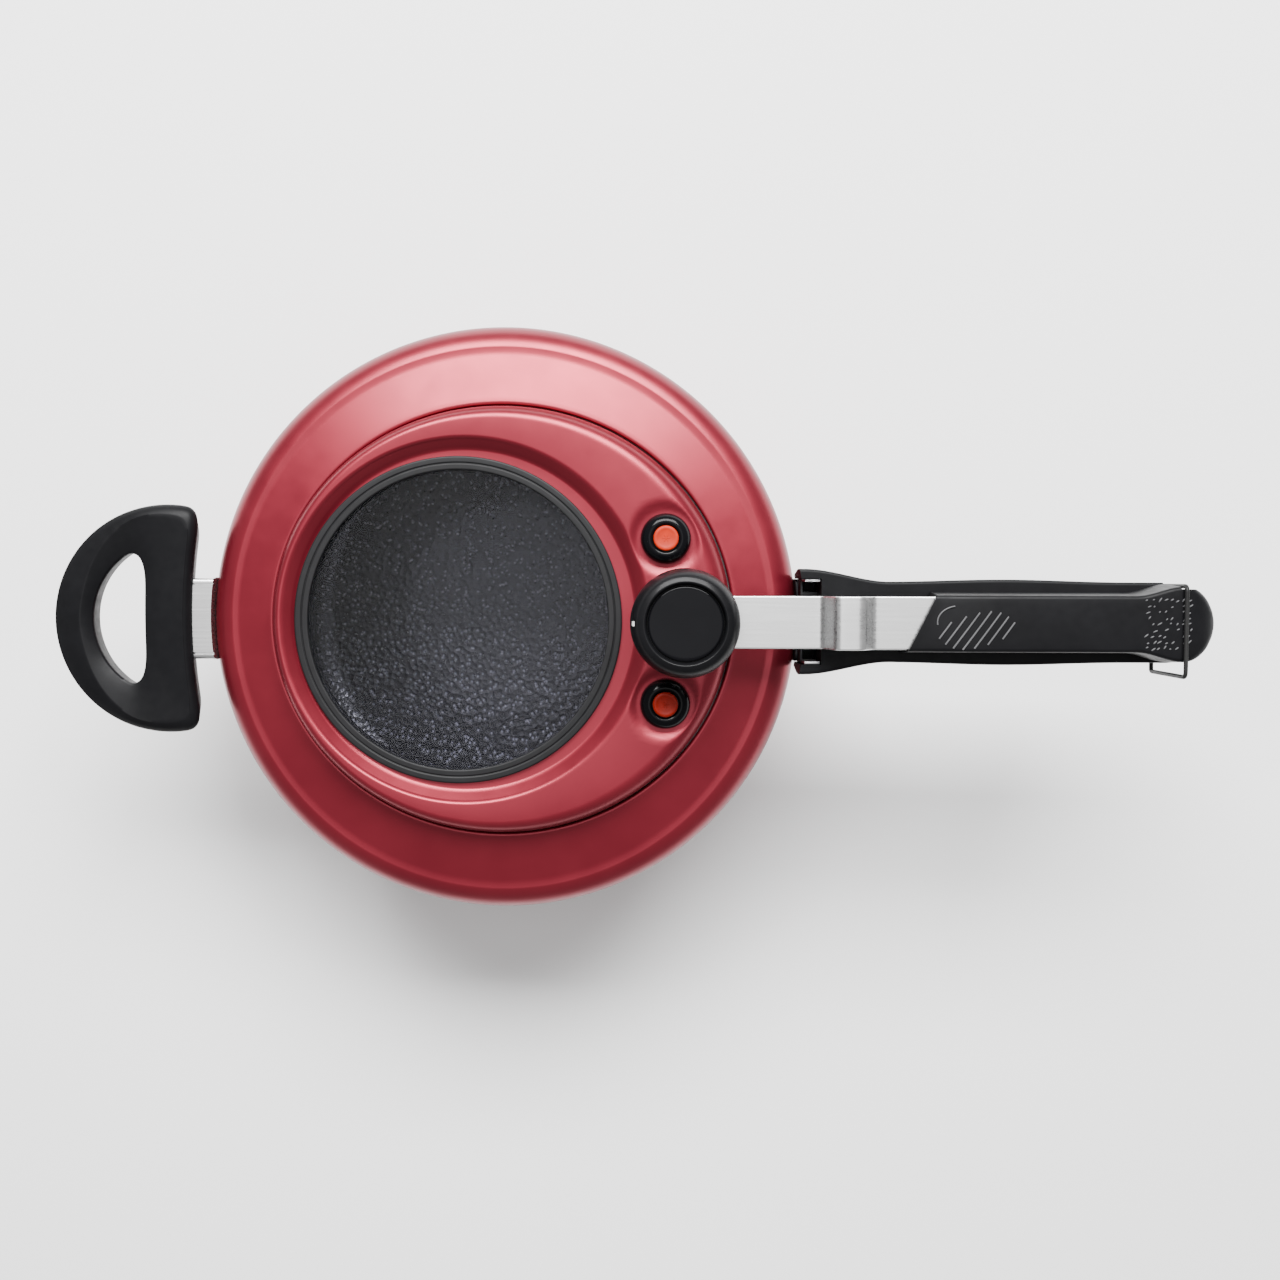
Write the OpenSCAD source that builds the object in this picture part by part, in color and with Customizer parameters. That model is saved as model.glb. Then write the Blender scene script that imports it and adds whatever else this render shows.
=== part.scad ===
// Stovetop pressure cooker with an oval lid that fits inside the mouth of the pot.
// A sprung lever along the long handle pulls the lid up against the mouth, and a
// wire bail at the end of the handles locks the lever shut.
// Millimetres. +Z is up, +X runs along the long handle, and the origin is the
// centre of the flat base.

/* [Pot] */
// Largest radius of the pot
pot_r = 120; // [119:0.5:121]
// Height at which the pot is widest
pot_wide_z = 100; // [99:0.5:101]
// Thickness of the pot wall
pot_wall = 3.4; // [3:0.1:3.6]
// Radius of the flat base
base_r = 94; // [90:1:96]
// Rounding of the shoulder
shoulder_blend = 12; // [11.5:0.5:12]

/* [Mouth and lid] */
// Half length of the oval mouth, along X
mouth_a = 92.7; // [92:0.1:93]
// Half width of the oval mouth, along Y
mouth_b = 86.5; // [86:0.1:87]
// Gap between the lid wall and the mouth
mouth_gap = 0.6; // [0.5:0.1:0.8]
// Height of the lid's flat top
lid_top_z = 126; // [125.8:0.1:126.2]
// Thickness of the lid metal
lid_t = 2.6; // [2.4:0.1:2.8]

/* [Window] */
// Centre of the window along X
window_x = -17.2; // [-17.4:0.1:-17]
// Outer radius of the rubber ring round the glass
window_ring_r = 65.4; // [65:0.1:65.6]
// Visible radius of the glass
window_view_r = 59.9; // [59:0.1:60]

/* [Valves and regulator] */
// Distance of the two valves from the pot axis, along X
valve_x = 65.5; // [65:0.1:66]
// Distance of each valve from the centre line, along Y
valve_y = 32.8; // [32.4:0.1:33.2]
// Radius of each valve's black surround
valve_r = 10; // [9.8:0.1:10.2]
// Position of the vent post and regulator knob along X
post_x = 72.5; // [72.2:0.1:72.8]
// Largest radius of the regulator knob
knob_r = 21; // [20:0.5:21.5]

/* [Lever] */
// Width of the steel lever strap
strap_w = 20.6; // [20:0.2:21]
// Thickness of the steel lever strap
strap_t = 2; // [2:0.1:2]
// Position of the roll that the lever rocks on, along X
fulcrum_x = 135.8; // [135.6:0.1:136]
// Height of the roll's axis
fulcrum_z = 142.05; // [142:0.05:142.1]
// Radius of the roll
fulcrum_r = 3.9; // [3.7:0.1:3.9]

/* [Handles] */
// End of the long handles, along X
handle_end_x = 280; // [279:0.5:281]
// Half width of the long handles at their round end
handle_end_r = 16; // [15.5:0.5:16]
// Radius of the helper handle's outer curve
helper_r = 46.6; // [46:0.1:47]
// Centre of the helper handle's outer curve, along X
helper_x = -136.9; // [-137.1:0.1:-136.7]

/* [Hidden] */
$fn = 96;
eps = 0.01;
oval_steps = 72;

// Pot
mouth_top_z = 117;
ledge_z = 112.6;
ledge_r = 99;
mouth_min_r = 84;
floor_t = 4.5;
stud_r = 2.4;
stud_out = 6;

// Gap left between two parts that come to rest against each other
stop_gap = 0.3;
// Clearance of a shaft in its hole
run_gap = 0.08;

// Lid, counted as insets from the mouth
flange_out = 3.5;
gasket_out = 5;
flange_z = 107.5;
flange_t = 1.7;
gasket_z = flange_z + flange_t;
recess_x = -14.5;
recess_floor_z = 121.5;
recess_low_r = 68.6;
recess_top_r = 71.6;
recess_wall = 2.8;
window_hole_r = 63.4;
glass_r = 61.9;
glass_z = 118.5;
glass_t = 3.5;
ring_z = 115.2;
ring_h = 8.3;
clamp_z = 113.6;
clamp_t = 1.6;
clamp_screws = 6;
clamp_screw_r = 1.5;
clamp_screw_ring_r = 67;

// Valves
dimple_z = 124.5;
dimple_r = 15;
dimple_low_r = 11;
boss_z = 121.5;
boss_r = 14;
shank_r = 6.5;
shank_z = 118;
surround_h = 6.3;
button_r = 5;
button_gap = 0.3;
button_low_z = 127;
stem_r = 3;
collar_r = 4.8;
pin_collar_z = 111.8;
plug_collar_z = 106.8;
collar_t = 1.6;
spring_turns = 5;
spring_wire_r = 0.5;
spring_r = 4.1;

// Vent post, lowest level first
post_r = 4;
vent_r = 1.5;
filter_z = 111;
filter_r = 7;
nut_h = 3;
post_foot_h = 4;
post_foot_r = 8;
strap_low_z = 134;
collar_nut_z = strap_low_z + strap_t + stop_gap;
collar_nut_h = 3.8;
nut_r = 8.08;
post_top_z = 148;
eye_r = 6.4;

// Regulator
weight_r = 12;
weight_z = 141.2;
weight_h = 12;
knob_low_z = 141.5;
knob_wide_z = 149;
knob_top_z = 160;
knob_top_r = 17;
cap_r = 14.4;
cap_z = 156.5;
knob_screw_r = 2;
knob_screw_head_r = 4;
knob_screw_depth = 4;
knob_screw_head_z = 154.7;

// Lever strap, as the middle line of the metal seen from the side
strap_path = [
    [62, 135], [127.2, 135], [131, 147], [140.6, 147], [144.6, 141], [232, 141]
];
rivet_xs = [186, 222];
fulcrum_rivet_xs = [126.5];
grip_screw_xs = [147];
rivet_r = 2.4;

// Long handles
grip_top_z = 127.2;
grip_start_x = 120.6;
grip_step = 6;
lid_grip_z = 127.6;
lid_grip_top_z = 146.4;
lid_grip_half_w = 12;
lid_grip_front_x = 158;
lid_grip_slant = 12;
lid_grip_cap_x = 250;
bail_x = handle_end_x - handle_end_r;
bail_pivot_z = 112;
bail_top_z = 147.7;
// The bail is slid to one side of its bore
bail_near_y = 14.7;
bail_flat_y = 13.5;
bail_far_y = -20.2;
bail_lap = 0.9;
bail_wire_r = 1;
bail_bar_r = 0.98;
bail_bore_r = 1.08;

// Brackets
saddle_t = 1.6;
saddle_half_w = 17;
saddle_z = 80;
saddle_h = 26;
cheek_t = 1.2;
cheek_len = 6.2;
cheek_top_z = 126.4;
tongue_half_w = 12;
tongue_len = 34;
tongue_z = 112;
tongue_t = 2.4;
roll_half_w = 9;
helper_z = 96;
helper_inner_x = -127.7;
helper_inner_r = 269;
helper_hole_r = 30.8;
helper_hole_x = -145.5;
helper_screw_x = -134.5;
helper_h = 17;
helper_tongue_z = 101;
helper_tongue_h = 8;
helper_tongue_half_w = 16.5;
helper_tongue_len = 20;
screw_r = 2;
screw_head_r = 3.8;

// ---------- shared shapes ----------

function oval_points(a, b) = [
    for (i = [0 : oval_steps - 1]) [a * cos(360 * i / oval_steps), b * sin(360 * i / oval_steps)]
];

// The mouth's oval grown by a distance, as a slab
module mouth_slab(grow, z, h)
    translate([0, 0, z])
        linear_extrude(h) polygon(oval_points(mouth_a + grow, mouth_b + grow));

// A sloped stretch between two ovals
module mouth_slope(grow_low, z_low, grow_high, z_high) hull() {
    mouth_slab(grow_low, z_low, eps);
    mouth_slab(grow_high, z_high - eps, eps);
}

module ring(r_out, r_in, z, h)
    translate([0, 0, z]) difference() {
        cylinder(r = r_out, h = h);
        translate([0, 0, -1]) cylinder(r = r_in, h = h + 2);
    }

module post(r, z, h, sides = 48)
    translate([0, 0, z]) cylinder(r = r, h = h, $fn = sides);

module hex_nut(r, bore, z, h) difference() {
    post(r, z, h, 6);
    post(bore, z - 1, h + 2);
}

// A bar of round section between two points that share Y and Z, along X
module rod_x(r, x, y, z, length)
    translate([x, y, z]) rotate([0, 90, 0]) cylinder(r = r, h = length, $fn = 48);

// A bar of round section along Y, centred on Y = 0
module rod_y(r, x, z, length)
    translate([x, length / 2, z]) rotate([90, 0, 0]) cylinder(r = r, h = length, $fn = 48);

function arc(cx, cz, r, from, to, steps) = [
    for (i = [0 : steps]) let (t = from + (to - from) * i / steps) [cx + r * cos(t), cz + r * sin(t)]
];

// ---------- pot ----------

module pot_outline() {
    low_r = 20;
    polygon(concat(
        [[0, 0]],
        arc(base_r, low_r, low_r, -90, -8, 10),
        [[pot_r - 1.6, 60]],
        arc(pot_r - shoulder_blend, pot_wide_z, shoulder_blend, 0, 80, 8),
        [[mouth_min_r, mouth_top_z], [mouth_min_r, ledge_z], [ledge_r, ledge_z]],
        arc(pot_r - shoulder_blend, pot_wide_z, shoulder_blend - pot_wall, 75, 0, 8),
        [[pot_r - 1.6 - pot_wall, 60]],
        arc(base_r - 3, low_r + 1, low_r - pot_wall, -8, -90, 10),
        [[0, floor_t]]
    ));
}

module wall_studs(side, z_list, y_list)
    for (z = z_list, y = y_list)
        rod_x(stud_r, side > 0 ? pot_r - 2.6 : -pot_r - stud_out, y, z, stud_out + 2.6);

module pot_body() color("firebrick") difference() {
    union() {
        rotate_extrude($fn = 180) pot_outline();
        wall_studs(1, [88], [-11, 11]);
        wall_studs(-1, [88], [-11, 11]);
    }
    mouth_slab(0, ledge_z - 2, 10);
}

// ---------- body handle side ----------

// A steel plate that lies on the pot wall
module wall_saddle(side) difference() {
    intersection() {
        ring(pot_r + 0.1 + saddle_t, pot_r + 0.1, saddle_z, saddle_h);
        translate([side > 0 ? 0 : -200, -saddle_half_w, saddle_z]) cube([200, 2 * saddle_half_w, saddle_h]);
    }
    for (y = [-11, 11])
        rod_x(stud_r + 0.05, side > 0 ? 100 : -140, y, 88, 40);
}

module bracket_nuts(side)
    for (y = [-11, 11])
        translate([side * (pot_r + 0.15 + saddle_t), y, 88]) rotate([0, side * 90, 0])
            difference() {
                cylinder(r = 4.6, h = 3, $fn = 6);
                translate([0, 0, -1]) cylinder(r = stud_r + 0.02, h = 5);
            }

module body_bracket() color("silver") difference() {
    union() {
        wall_saddle(1);
        translate([pot_r - 1, -tongue_half_w, tongue_z - 8]) cube([2.8, 2 * tongue_half_w, 10.4]);
        translate([pot_r - 1, -tongue_half_w, tongue_z]) cube([tongue_len, 2 * tongue_half_w, tongue_t]);
        for (s = [-1, 1])
            translate([pot_r + 0.7, s * (saddle_half_w - cheek_t / 2) - cheek_t / 2, tongue_z - 8])
                cube([cheek_len, cheek_t, cheek_top_z - tongue_z + 8]);
        translate([pot_r + 0.2, -saddle_half_w, tongue_z - 8]) cube([1.5, 2 * saddle_half_w, 10.4]);
    }
    post(pot_r + 0.1, 70, 60);
    for (x = fulcrum_rivet_xs) translate([x, 0, 0]) post(rivet_r, tongue_z - 4, 12);
    for (x = grip_screw_xs, y = [-7, 7]) translate([x, y, 0]) post(screw_r, tongue_z - 4, 12);
}

function smooth(t) = let (u = min(1, max(0, t))) u * u * (3 - 2 * u);
function grip_half_w(x) =
    handle_end_r + 5 * (1 - smooth((x - grip_start_x) / 34)) + sin(180 * smooth((x - 150) / 100));

// The lower handle seen from above
module grip_plan() {
    xs = [for (x = [grip_start_x : grip_step : bail_x]) x];
    polygon(concat(
        [for (x = xs) [x, -grip_half_w(x)]],
        arc(bail_x, 0, handle_end_r, -80, 80, 16),
        [for (i = [len(xs) - 1 : -1 : 0]) [xs[i], grip_half_w(xs[i])]]
    ));
}

// The lower handle seen from the side
module grip_side()
    polygon(concat(
        [[100, 97], [126, 97]],
        [for (i = [0 : 6]) [126 + 4 * i, 97 + 7 * smooth(i / 6)]],
        [[170, 103], [230, 103]],
        arc(270, 113, 10, -90, 0, 6),
        [[280, grip_top_z], [100, grip_top_z]]
    ));

module body_handle() color("dimgray") difference() {
    intersection() {
        translate([0, 0, 90]) linear_extrude(50) grip_plan();
        translate([0, 40, 0]) rotate([90, 0, 0]) linear_extrude(80) grip_side();
    }
    post(pot_r + 2.2, 80, 24);
    post(pot_r + 0.4, 80, 60);
    // Pocket between the cheeks, open at the top, and the slot for the tongue
    translate([110, -saddle_half_w - 0.1, tongue_z - 8.2])
        cube([pot_r - 110 + cheek_len + 1, 2 * saddle_half_w + 0.2, 40]);
    translate([110, -tongue_half_w - 0.1, tongue_z - 0.1])
        cube([tongue_len + 10.2, 2 * tongue_half_w + 0.2, tongue_t + 0.2]);
    translate([110, -roll_half_w - 0.2, tongue_z]) cube([fulcrum_x - 110 + 2, 2 * roll_half_w + 0.4, 40]);
    translate([110, -5.2, tongue_z - 3.2]) cube([fulcrum_x - 110 + 2, 10.4, 5]);
    for (x = grip_screw_xs, y = [-7, 7]) translate([x, y, 0]) {
        post(screw_r + 0.1, 90, tongue_z - 90 + 6);
        post(screw_head_r + 0.1, 90, 15);
    }
    rod_y(bail_bore_r, bail_x, bail_pivot_z, 60);
    bail_notch();
}

module body_handle_screws() color("gainsboro")
    for (x = grip_screw_xs, y = [-7, 7]) translate([x, y, 0]) {
        post(screw_head_r, 103.2, 1.8);
        post(screw_r, 105, tongue_z - 105 + 5);
    }

// Bent steel hook whose rolled top carries the lever
module fulcrum_hook() color("silver") difference() {
    union() {
        rod_y(fulcrum_r, fulcrum_x, fulcrum_z, 2 * roll_half_w);
        translate([fulcrum_x - 1.2, -roll_half_w, tongue_z + tongue_t])
            cube([2.4, 2 * roll_half_w, fulcrum_z - tongue_z - tongue_t]);
        translate([pot_r + 2.4, -roll_half_w, tongue_z + tongue_t])
            cube([fulcrum_x - pot_r - 1.2, 2 * roll_half_w, 2]);
    }
    for (x = fulcrum_rivet_xs) translate([x, 0, 0]) post(rivet_r, tongue_z, 10);
}

module fulcrum_rivets() color("gainsboro")
    for (x = fulcrum_rivet_xs) translate([x, 0, 0]) {
        post(rivet_r, tongue_z, tongue_t + 2);
        post(rivet_r + 1.6, tongue_z - 1.4, 1.4);
        post(rivet_r + 1.6, tongue_z + tongue_t + 2, 1.4);
    }

// ---------- helper handle side ----------

module helper_plan() difference() {
    intersection() {
        translate([helper_x, 0]) circle(r = helper_r, $fn = 120);
        translate([-200, -60]) square([helper_inner_x + 206, 120]);
    }
    translate([helper_inner_x + helper_inner_r, 0]) circle(r = helper_inner_r, $fn = 240);
    intersection() {
        translate([helper_x, 0]) circle(r = helper_hole_r, $fn = 96);
        translate([-200, -60]) square([helper_hole_x + 200, 120]);
    }
}

module helper_bracket() color("silver") difference() {
    union() {
        wall_saddle(-1);
        translate([-pot_r - helper_tongue_len, -helper_tongue_half_w, helper_tongue_z])
            difference() {
                cube([helper_tongue_len, 2 * helper_tongue_half_w, helper_tongue_h]);
                translate([-1, 1.5, 1.5])
                    cube([helper_tongue_len - 2, 2 * helper_tongue_half_w - 3, helper_tongue_h - 3]);
            }
    }
    post(pot_r + 0.1, 70, 60);
    for (y = [-9, 9]) translate([helper_screw_x, y, 0]) post(screw_r, 90, 14);
}

module helper_bracket_nuts() color("gainsboro") bracket_nuts(-1);

module body_bracket_nuts() color("gainsboro") bracket_nuts(1);

module helper_handle() color("dimgray") difference() {
    translate([0, 0, helper_z]) linear_extrude(helper_h) helper_plan();
    translate([-pot_r - helper_tongue_len - 0.1, -helper_tongue_half_w - 0.1, helper_tongue_z - 0.1])
        cube([helper_tongue_len + 1, 2 * helper_tongue_half_w + 0.2, helper_tongue_h + 0.2]);
    for (y = [-9, 9]) translate([helper_screw_x, y, 0]) {
        post(screw_r + 0.1, 90, 14);
        post(screw_head_r + 0.1, 90, 8);
    }
}

module helper_screws() color("gainsboro")
    for (y = [-9, 9]) translate([helper_screw_x, y, 0]) {
        post(screw_head_r, 96.2, 1.8);
        post(screw_r, 98, 6);
    }

// ---------- lid ----------

module lid_solid() {
    mouth_slab(flange_out, flange_z, flange_t);
    mouth_slab(-mouth_gap, flange_z, 117 - flange_z);
    mouth_slope(-mouth_gap, 117, -2.2, 121.5);
    mouth_slope(-2.2, 121.5, -6, lid_top_z);
}

module lid_hollow() {
    mouth_slab(-mouth_gap - lid_t, flange_z - 1, 117 - flange_z);
    mouth_slope(-mouth_gap - lid_t, 116, -8.4, lid_top_z - lid_t);
}

module at_recess() translate([recess_x, 0, 0]) children();
module at_window() translate([window_x, 0, 0]) children();
module at_post() translate([post_x, 0, 0]) children();
module at_valve(side) translate([valve_x, side * valve_y, 0]) children();

module lid_shell() color("firebrick") difference() {
    union() {
        difference() {
            lid_solid();
            lid_hollow();
        }
        intersection() {
            union() {
                at_recess() post(recess_top_r + recess_wall, recess_floor_z - lid_t, 6, 180);
                for (s = [-1, 1]) at_valve(s) post(boss_r, boss_z, 4);
                for (i = [0 : clamp_screws - 1])
                    at_window() rotate(60 * i + 30) translate([clamp_screw_ring_r - 2, 0, 0])
                        post(3.2, clamp_z + clamp_t, recess_floor_z - lid_t - clamp_z - clamp_t + 1);
            }
            union() {
                mouth_slab(-mouth_gap, 100, 21.5);
                mouth_slope(-2.2, 121.5, -6, lid_top_z);
            }
        }
    }
    at_recess() translate([0, 0, recess_floor_z])
        cylinder(r1 = recess_low_r, r2 = recess_top_r, h = lid_top_z - recess_floor_z + eps, $fn = 180);
    at_window() post(window_hole_r, 100, 40, 180);
    for (s = [-1, 1]) at_valve(s) {
        translate([0, 0, dimple_z])
            cylinder(r1 = dimple_low_r, r2 = dimple_r, h = lid_top_z - dimple_z + eps);
        post(shank_r, 100, 40);
    }
    at_post() post(post_r, 100, 40);
    for (i = [0 : clamp_screws - 1])
        at_window() rotate(60 * i + 30) translate([clamp_screw_ring_r - 2, 0, 0])
            post(clamp_screw_r, clamp_z, 5);
}

module lid_gasket() color("gainsboro") difference() {
    mouth_slab(gasket_out, gasket_z, ledge_z - gasket_z - 0.05);
    mouth_slab(-mouth_gap + 0.02, gasket_z - 1, 6);
}

module window_gasket() color("black") at_window() difference() {
    ring(window_ring_r, window_view_r, ring_z, ring_h);
    ring(window_ring_r + 1, window_hole_r - run_gap, ring_z - 1, recess_floor_z - ring_z + 1);
    translate([0, 0, glass_z]) cylinder(r = glass_r, h = glass_t);
}

module window_glass() color("gray", 0.4) at_window() post(glass_r, glass_z, glass_t, 180);

// Steel ring that presses the rubber ring up from inside the lid
module window_clamp_ring() color("silver") at_window() difference() {
    ring(clamp_screw_ring_r + 1.4, window_view_r + 0.6, clamp_z, clamp_t);
    for (i = [0 : clamp_screws - 1])
        rotate(60 * i + 30) translate([clamp_screw_ring_r - 2, 0, 0]) post(clamp_screw_r, clamp_z - 1, 6);
}

module window_clamp_screws() color("gainsboro") at_window()
    for (i = [0 : clamp_screws - 1])
        rotate(60 * i + 30) translate([clamp_screw_ring_r - 2, 0, 0]) {
            post(clamp_screw_r, clamp_z, 4.6);
            post(2.8, clamp_z - 1.4, 1.4);
        }

// ---------- vent post ----------

module vent_post() color("silver") at_post() difference() {
    union() {
        post(post_r, lid_top_z - lid_t - nut_h, post_top_z - 2 - lid_top_z + lid_t + nut_h);
        post(post_foot_r, lid_top_z, post_foot_h);
        translate([0, 0, post_top_z - 2]) cylinder(r1 = post_r, r2 = 2.4, h = 2, $fn = 48);
    }
    post(vent_r, 100, 60);
}

module vent_post_nut() color("gainsboro") at_post()
    hex_nut(nut_r, post_r, lid_top_z - lid_t - nut_h, nut_h);

// Strainer cap that keeps food out of the vent
module vent_filter() color("silver") at_post() difference() {
    post(filter_r, filter_z, lid_top_z - lid_t - nut_h - filter_z);
    post(filter_r - 1, filter_z + 1, 20);
    for (a = [0 : 60 : 300])
        rotate(a) rod_x(1, 0, 0, filter_z + 5, filter_r + 2);
}

module vent_collar_nut() color("gainsboro") at_post() hex_nut(nut_r, post_r, collar_nut_z, collar_nut_h);

// ---------- indicator and safety valve ----------

module surround(side) at_valve(side) difference() {
    union() {
        translate([0, 0, dimple_z]) rotate_extrude($fn = 72)
            polygon(concat([[0, 0]], arc(valve_r - 3.5, 2.8, 3.5, -53, 90, 10), [[0, surround_h]]));
        post(shank_r, shank_z, dimple_z - shank_z + 1);
    }
    post(button_r + button_gap, button_low_z - stop_gap, 10);
    post(stem_r + run_gap, 100, 40);
}

module valve_nut(side) at_valve(side) hex_nut(9.4, shank_r, boss_z - nut_h, nut_h);

module valve_button(side, collar_z) at_valve(side) {
    post(button_r, button_low_z, 4.6);
    post(stem_r, collar_z, button_low_z - collar_z);
}

module valve_collar(side, collar_z) at_valve(side) ring(collar_r, stem_r, collar_z, collar_t);

module indicator_surround() color("black") surround(1);
module indicator_nut() color("gainsboro") valve_nut(1);
module indicator_pin() color("orangered") valve_button(1, pin_collar_z);
module indicator_collar() color("gainsboro") valve_collar(1, pin_collar_z);
module safety_surround() color("black") surround(-1);
module safety_nut() color("gainsboro") valve_nut(-1);
module safety_plug() color("orangered") valve_button(-1, plug_collar_z);
module safety_collar() color("gainsboro") valve_collar(-1, plug_collar_z);

// Compression spring between the safety valve's shank and the plug's collar
function helix_point(a, low, high) =
    [spring_r * cos(a), spring_r * sin(a), low + (high - low) * a / (360 * spring_turns)];
module safety_spring() color("silver") at_valve(-1) {
    low = plug_collar_z + collar_t + spring_wire_r + 0.05;
    high = shank_z - spring_wire_r - 0.05;
    sides = 6;
    rings = 16 * spring_turns;
    points = [
        for (i = [0 : rings], k = [0 : sides - 1])
            let (a = 360 * spring_turns * i / rings, b = 360 * k / sides)
                helix_point(a, low, high) + spring_wire_r * [cos(a) * cos(b), sin(a) * cos(b), sin(b)]
    ];
    walls = [
        for (i = [0 : rings - 1], k = [0 : sides - 1])
            let (n = (k + 1) % sides)
                [i * sides + k, i * sides + n, (i + 1) * sides + n, (i + 1) * sides + k]
    ];
    ends = [
        [for (k = [sides - 1 : -1 : 0]) k],
        [for (k = [0 : sides - 1]) rings * sides + k]
    ];
    polyhedron(points = points, faces = concat(walls, ends), convexity = 8);
}

// ---------- regulator ----------

module regulator_weight() color("silver") at_post() difference() {
    post(weight_r, weight_z, weight_h);
    post(post_r + run_gap, weight_z - 1, post_top_z + stop_gap - weight_z + 1);
    post(knob_screw_r, weight_z + weight_h - knob_screw_depth, 10);
}

module regulator_screw() color("gainsboro") at_post() {
    low_z = weight_z + weight_h - knob_screw_depth;
    post(knob_screw_r, low_z, knob_screw_head_z - low_z);
    post(knob_screw_head_r, knob_screw_head_z, 1.5);
}

module knob_outline()
    polygon(concat(
        [[0, knob_low_z], [knob_r - 2.5, knob_low_z], [knob_r, knob_wide_z - 2], [knob_r, knob_wide_z]],
        arc(knob_top_r - 1, knob_top_z - 4, 4, 30, 90, 6),
        [[0, knob_top_z]]
    ));

module knob_shell() color("black") difference() {
    at_post() difference() {
        rotate_extrude($fn = 120) knob_outline();
        post(weight_r + run_gap, knob_low_z - 1, weight_z + weight_h + stop_gap - knob_low_z + 1);
        post(knob_screw_r + 0.1, 150, 12);
        post(knob_screw_head_r + 0.3, knob_screw_head_z - stop_gap, 5);
        post(cap_r + 0.02, cap_z, 8, 96);
    }
    knob_mark();
}

module knob_cap() color("black") at_post() post(cap_r, cap_z, 1.7, 96);

// White tick that shows how far the knob is turned
module knob_mark() color("white")
    translate([post_x - knob_r - 0.2, -0.5, knob_wide_z + 0.4]) cube([3, 1, 3.2]);

// ---------- lever ----------

function unit(v) = v / norm(v);
function left_of(v) = [-v[1], v[0]];

// The strap's path moved sideways by a distance, with sharp corners
function strap_edge(d) = let (last = len(strap_path) - 1) [
    for (i = [0 : last])
        let (
            before = unit(strap_path[max(i, 1)] - strap_path[max(i, 1) - 1]),
            after = unit(strap_path[min(i, last - 1) + 1] - strap_path[min(i, last - 1)]),
            side = unit(left_of(before) + left_of(after))
        )
            strap_path[i] + side * d / (side * left_of(before))
];

module strap_side() {
    lower = strap_edge(-strap_t / 2);
    polygon(concat(strap_edge(strap_t / 2), [for (i = [len(lower) - 1 : -1 : 0]) lower[i]]));
}

module lever_strap() color("silver") difference() {
    translate([0, strap_w / 2, 0]) rotate([90, 0, 0]) linear_extrude(strap_w) strap_side();
    difference() {
        translate([post_x - strap_w, -strap_w, 120]) cube([strap_w, 2 * strap_w, 40]);
        at_post() post(strap_w / 2, 119, 42, 72);
    }
    at_post() post(eye_r, 120, 40);
    for (x = rivet_xs) translate([x, 0, 0]) post(rivet_r, 120, 40);
}

// The lid handle seen from above: a slanted front, straight sides and a round end
module lid_grip_plan() {
    cap_start = [lid_grip_cap_x, lid_grip_half_w];
    polygon(concat(
        [[lid_grip_front_x, -lid_grip_half_w], [cap_start[0], -cap_start[1]]],
        arc(bail_x, 0, handle_end_r - 0.4, -110, 110, 20),
        [cap_start, [lid_grip_front_x + lid_grip_slant, lid_grip_half_w]]
    ));
}

// The lid handle seen from the side, with its top falling away past the bail
module lid_grip_side() {
    reach = handle_end_r + 0.4;
    fall = [
        for (i = [0 : 6]) let (d = reach * i / 6)
            [bail_x - 0.2 + d, lid_grip_top_z - 0.3 * d - d * d / 26]
    ];
    polygon(concat(
        [[150, lid_grip_z], [150, 143.6]],
        [for (i = [0 : 4]) [162 + 8 * i, 144.4 + 2 * smooth(i / 4)]],
        fall,
        [[handle_end_x + 0.2, lid_grip_z]]
    ));
}

module lid_handle() color("dimgray") difference() {
    intersection() {
        translate([0, 0, 120]) linear_extrude(40) lid_grip_plan();
        translate([0, 40, 0]) rotate([90, 0, 0]) linear_extrude(80) lid_grip_side();
    }
    translate([150, -strap_w / 2 - 0.05, 140 - 0.05]) cube([83.2, strap_w + 0.1, strap_t + 0.1]);
    for (x = rivet_xs) translate([x, 0, 0]) {
        post(rivet_r + 0.05, 120, 24);
        post(rivet_r + 1.9, 120, 12);
    }
    bail_notch();
}

module strap_rivets() color("gainsboro")
    for (x = rivet_xs) translate([x, 0, 0]) {
        post(rivet_r, 132, 10);
        post(rivet_r + 1.6, 130.4, 1.6);
    }

// ---------- lock bail ----------

// Flat on the end of both handles that lets the near leg swing past
module bail_notch()
    translate([bail_x - bail_wire_r - 0.3, bail_flat_y, 90]) cube([30, 10, 70]);

module bail_bar(z)
    translate([bail_x, bail_near_y + bail_lap, z])
        rotate([90, 0, 0]) cylinder(r = bail_bar_r, h = bail_near_y - bail_far_y + 2 * bail_lap, $fn = 32);

module bail_leg(y)
    translate([bail_x, y, bail_pivot_z - bail_lap])
        cylinder(r = bail_wire_r, h = bail_top_z - bail_pivot_z + 2 * bail_lap, $fn = 32);

module lock_bail() color("darkslategray") {
    for (z = [bail_pivot_z, bail_top_z]) bail_bar(z);
    for (y = [bail_near_y, bail_far_y]) bail_leg(y);
}

pot_body();
body_bracket();
body_bracket_nuts();
body_handle();
body_handle_screws();
fulcrum_hook();
fulcrum_rivets();
helper_bracket();
helper_bracket_nuts();
helper_handle();
helper_screws();
lid_shell();
lid_gasket();
window_gasket();
window_glass();
window_clamp_ring();
window_clamp_screws();
vent_post();
vent_post_nut();
vent_filter();
vent_collar_nut();
indicator_surround();
indicator_nut();
indicator_pin();
indicator_collar();
safety_surround();
safety_nut();
safety_plug();
safety_collar();
safety_spring();
regulator_weight();
regulator_screw();
knob_shell();
knob_cap();
knob_mark();
lever_strap();
lid_handle();
strap_rivets();
lock_bail();
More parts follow.
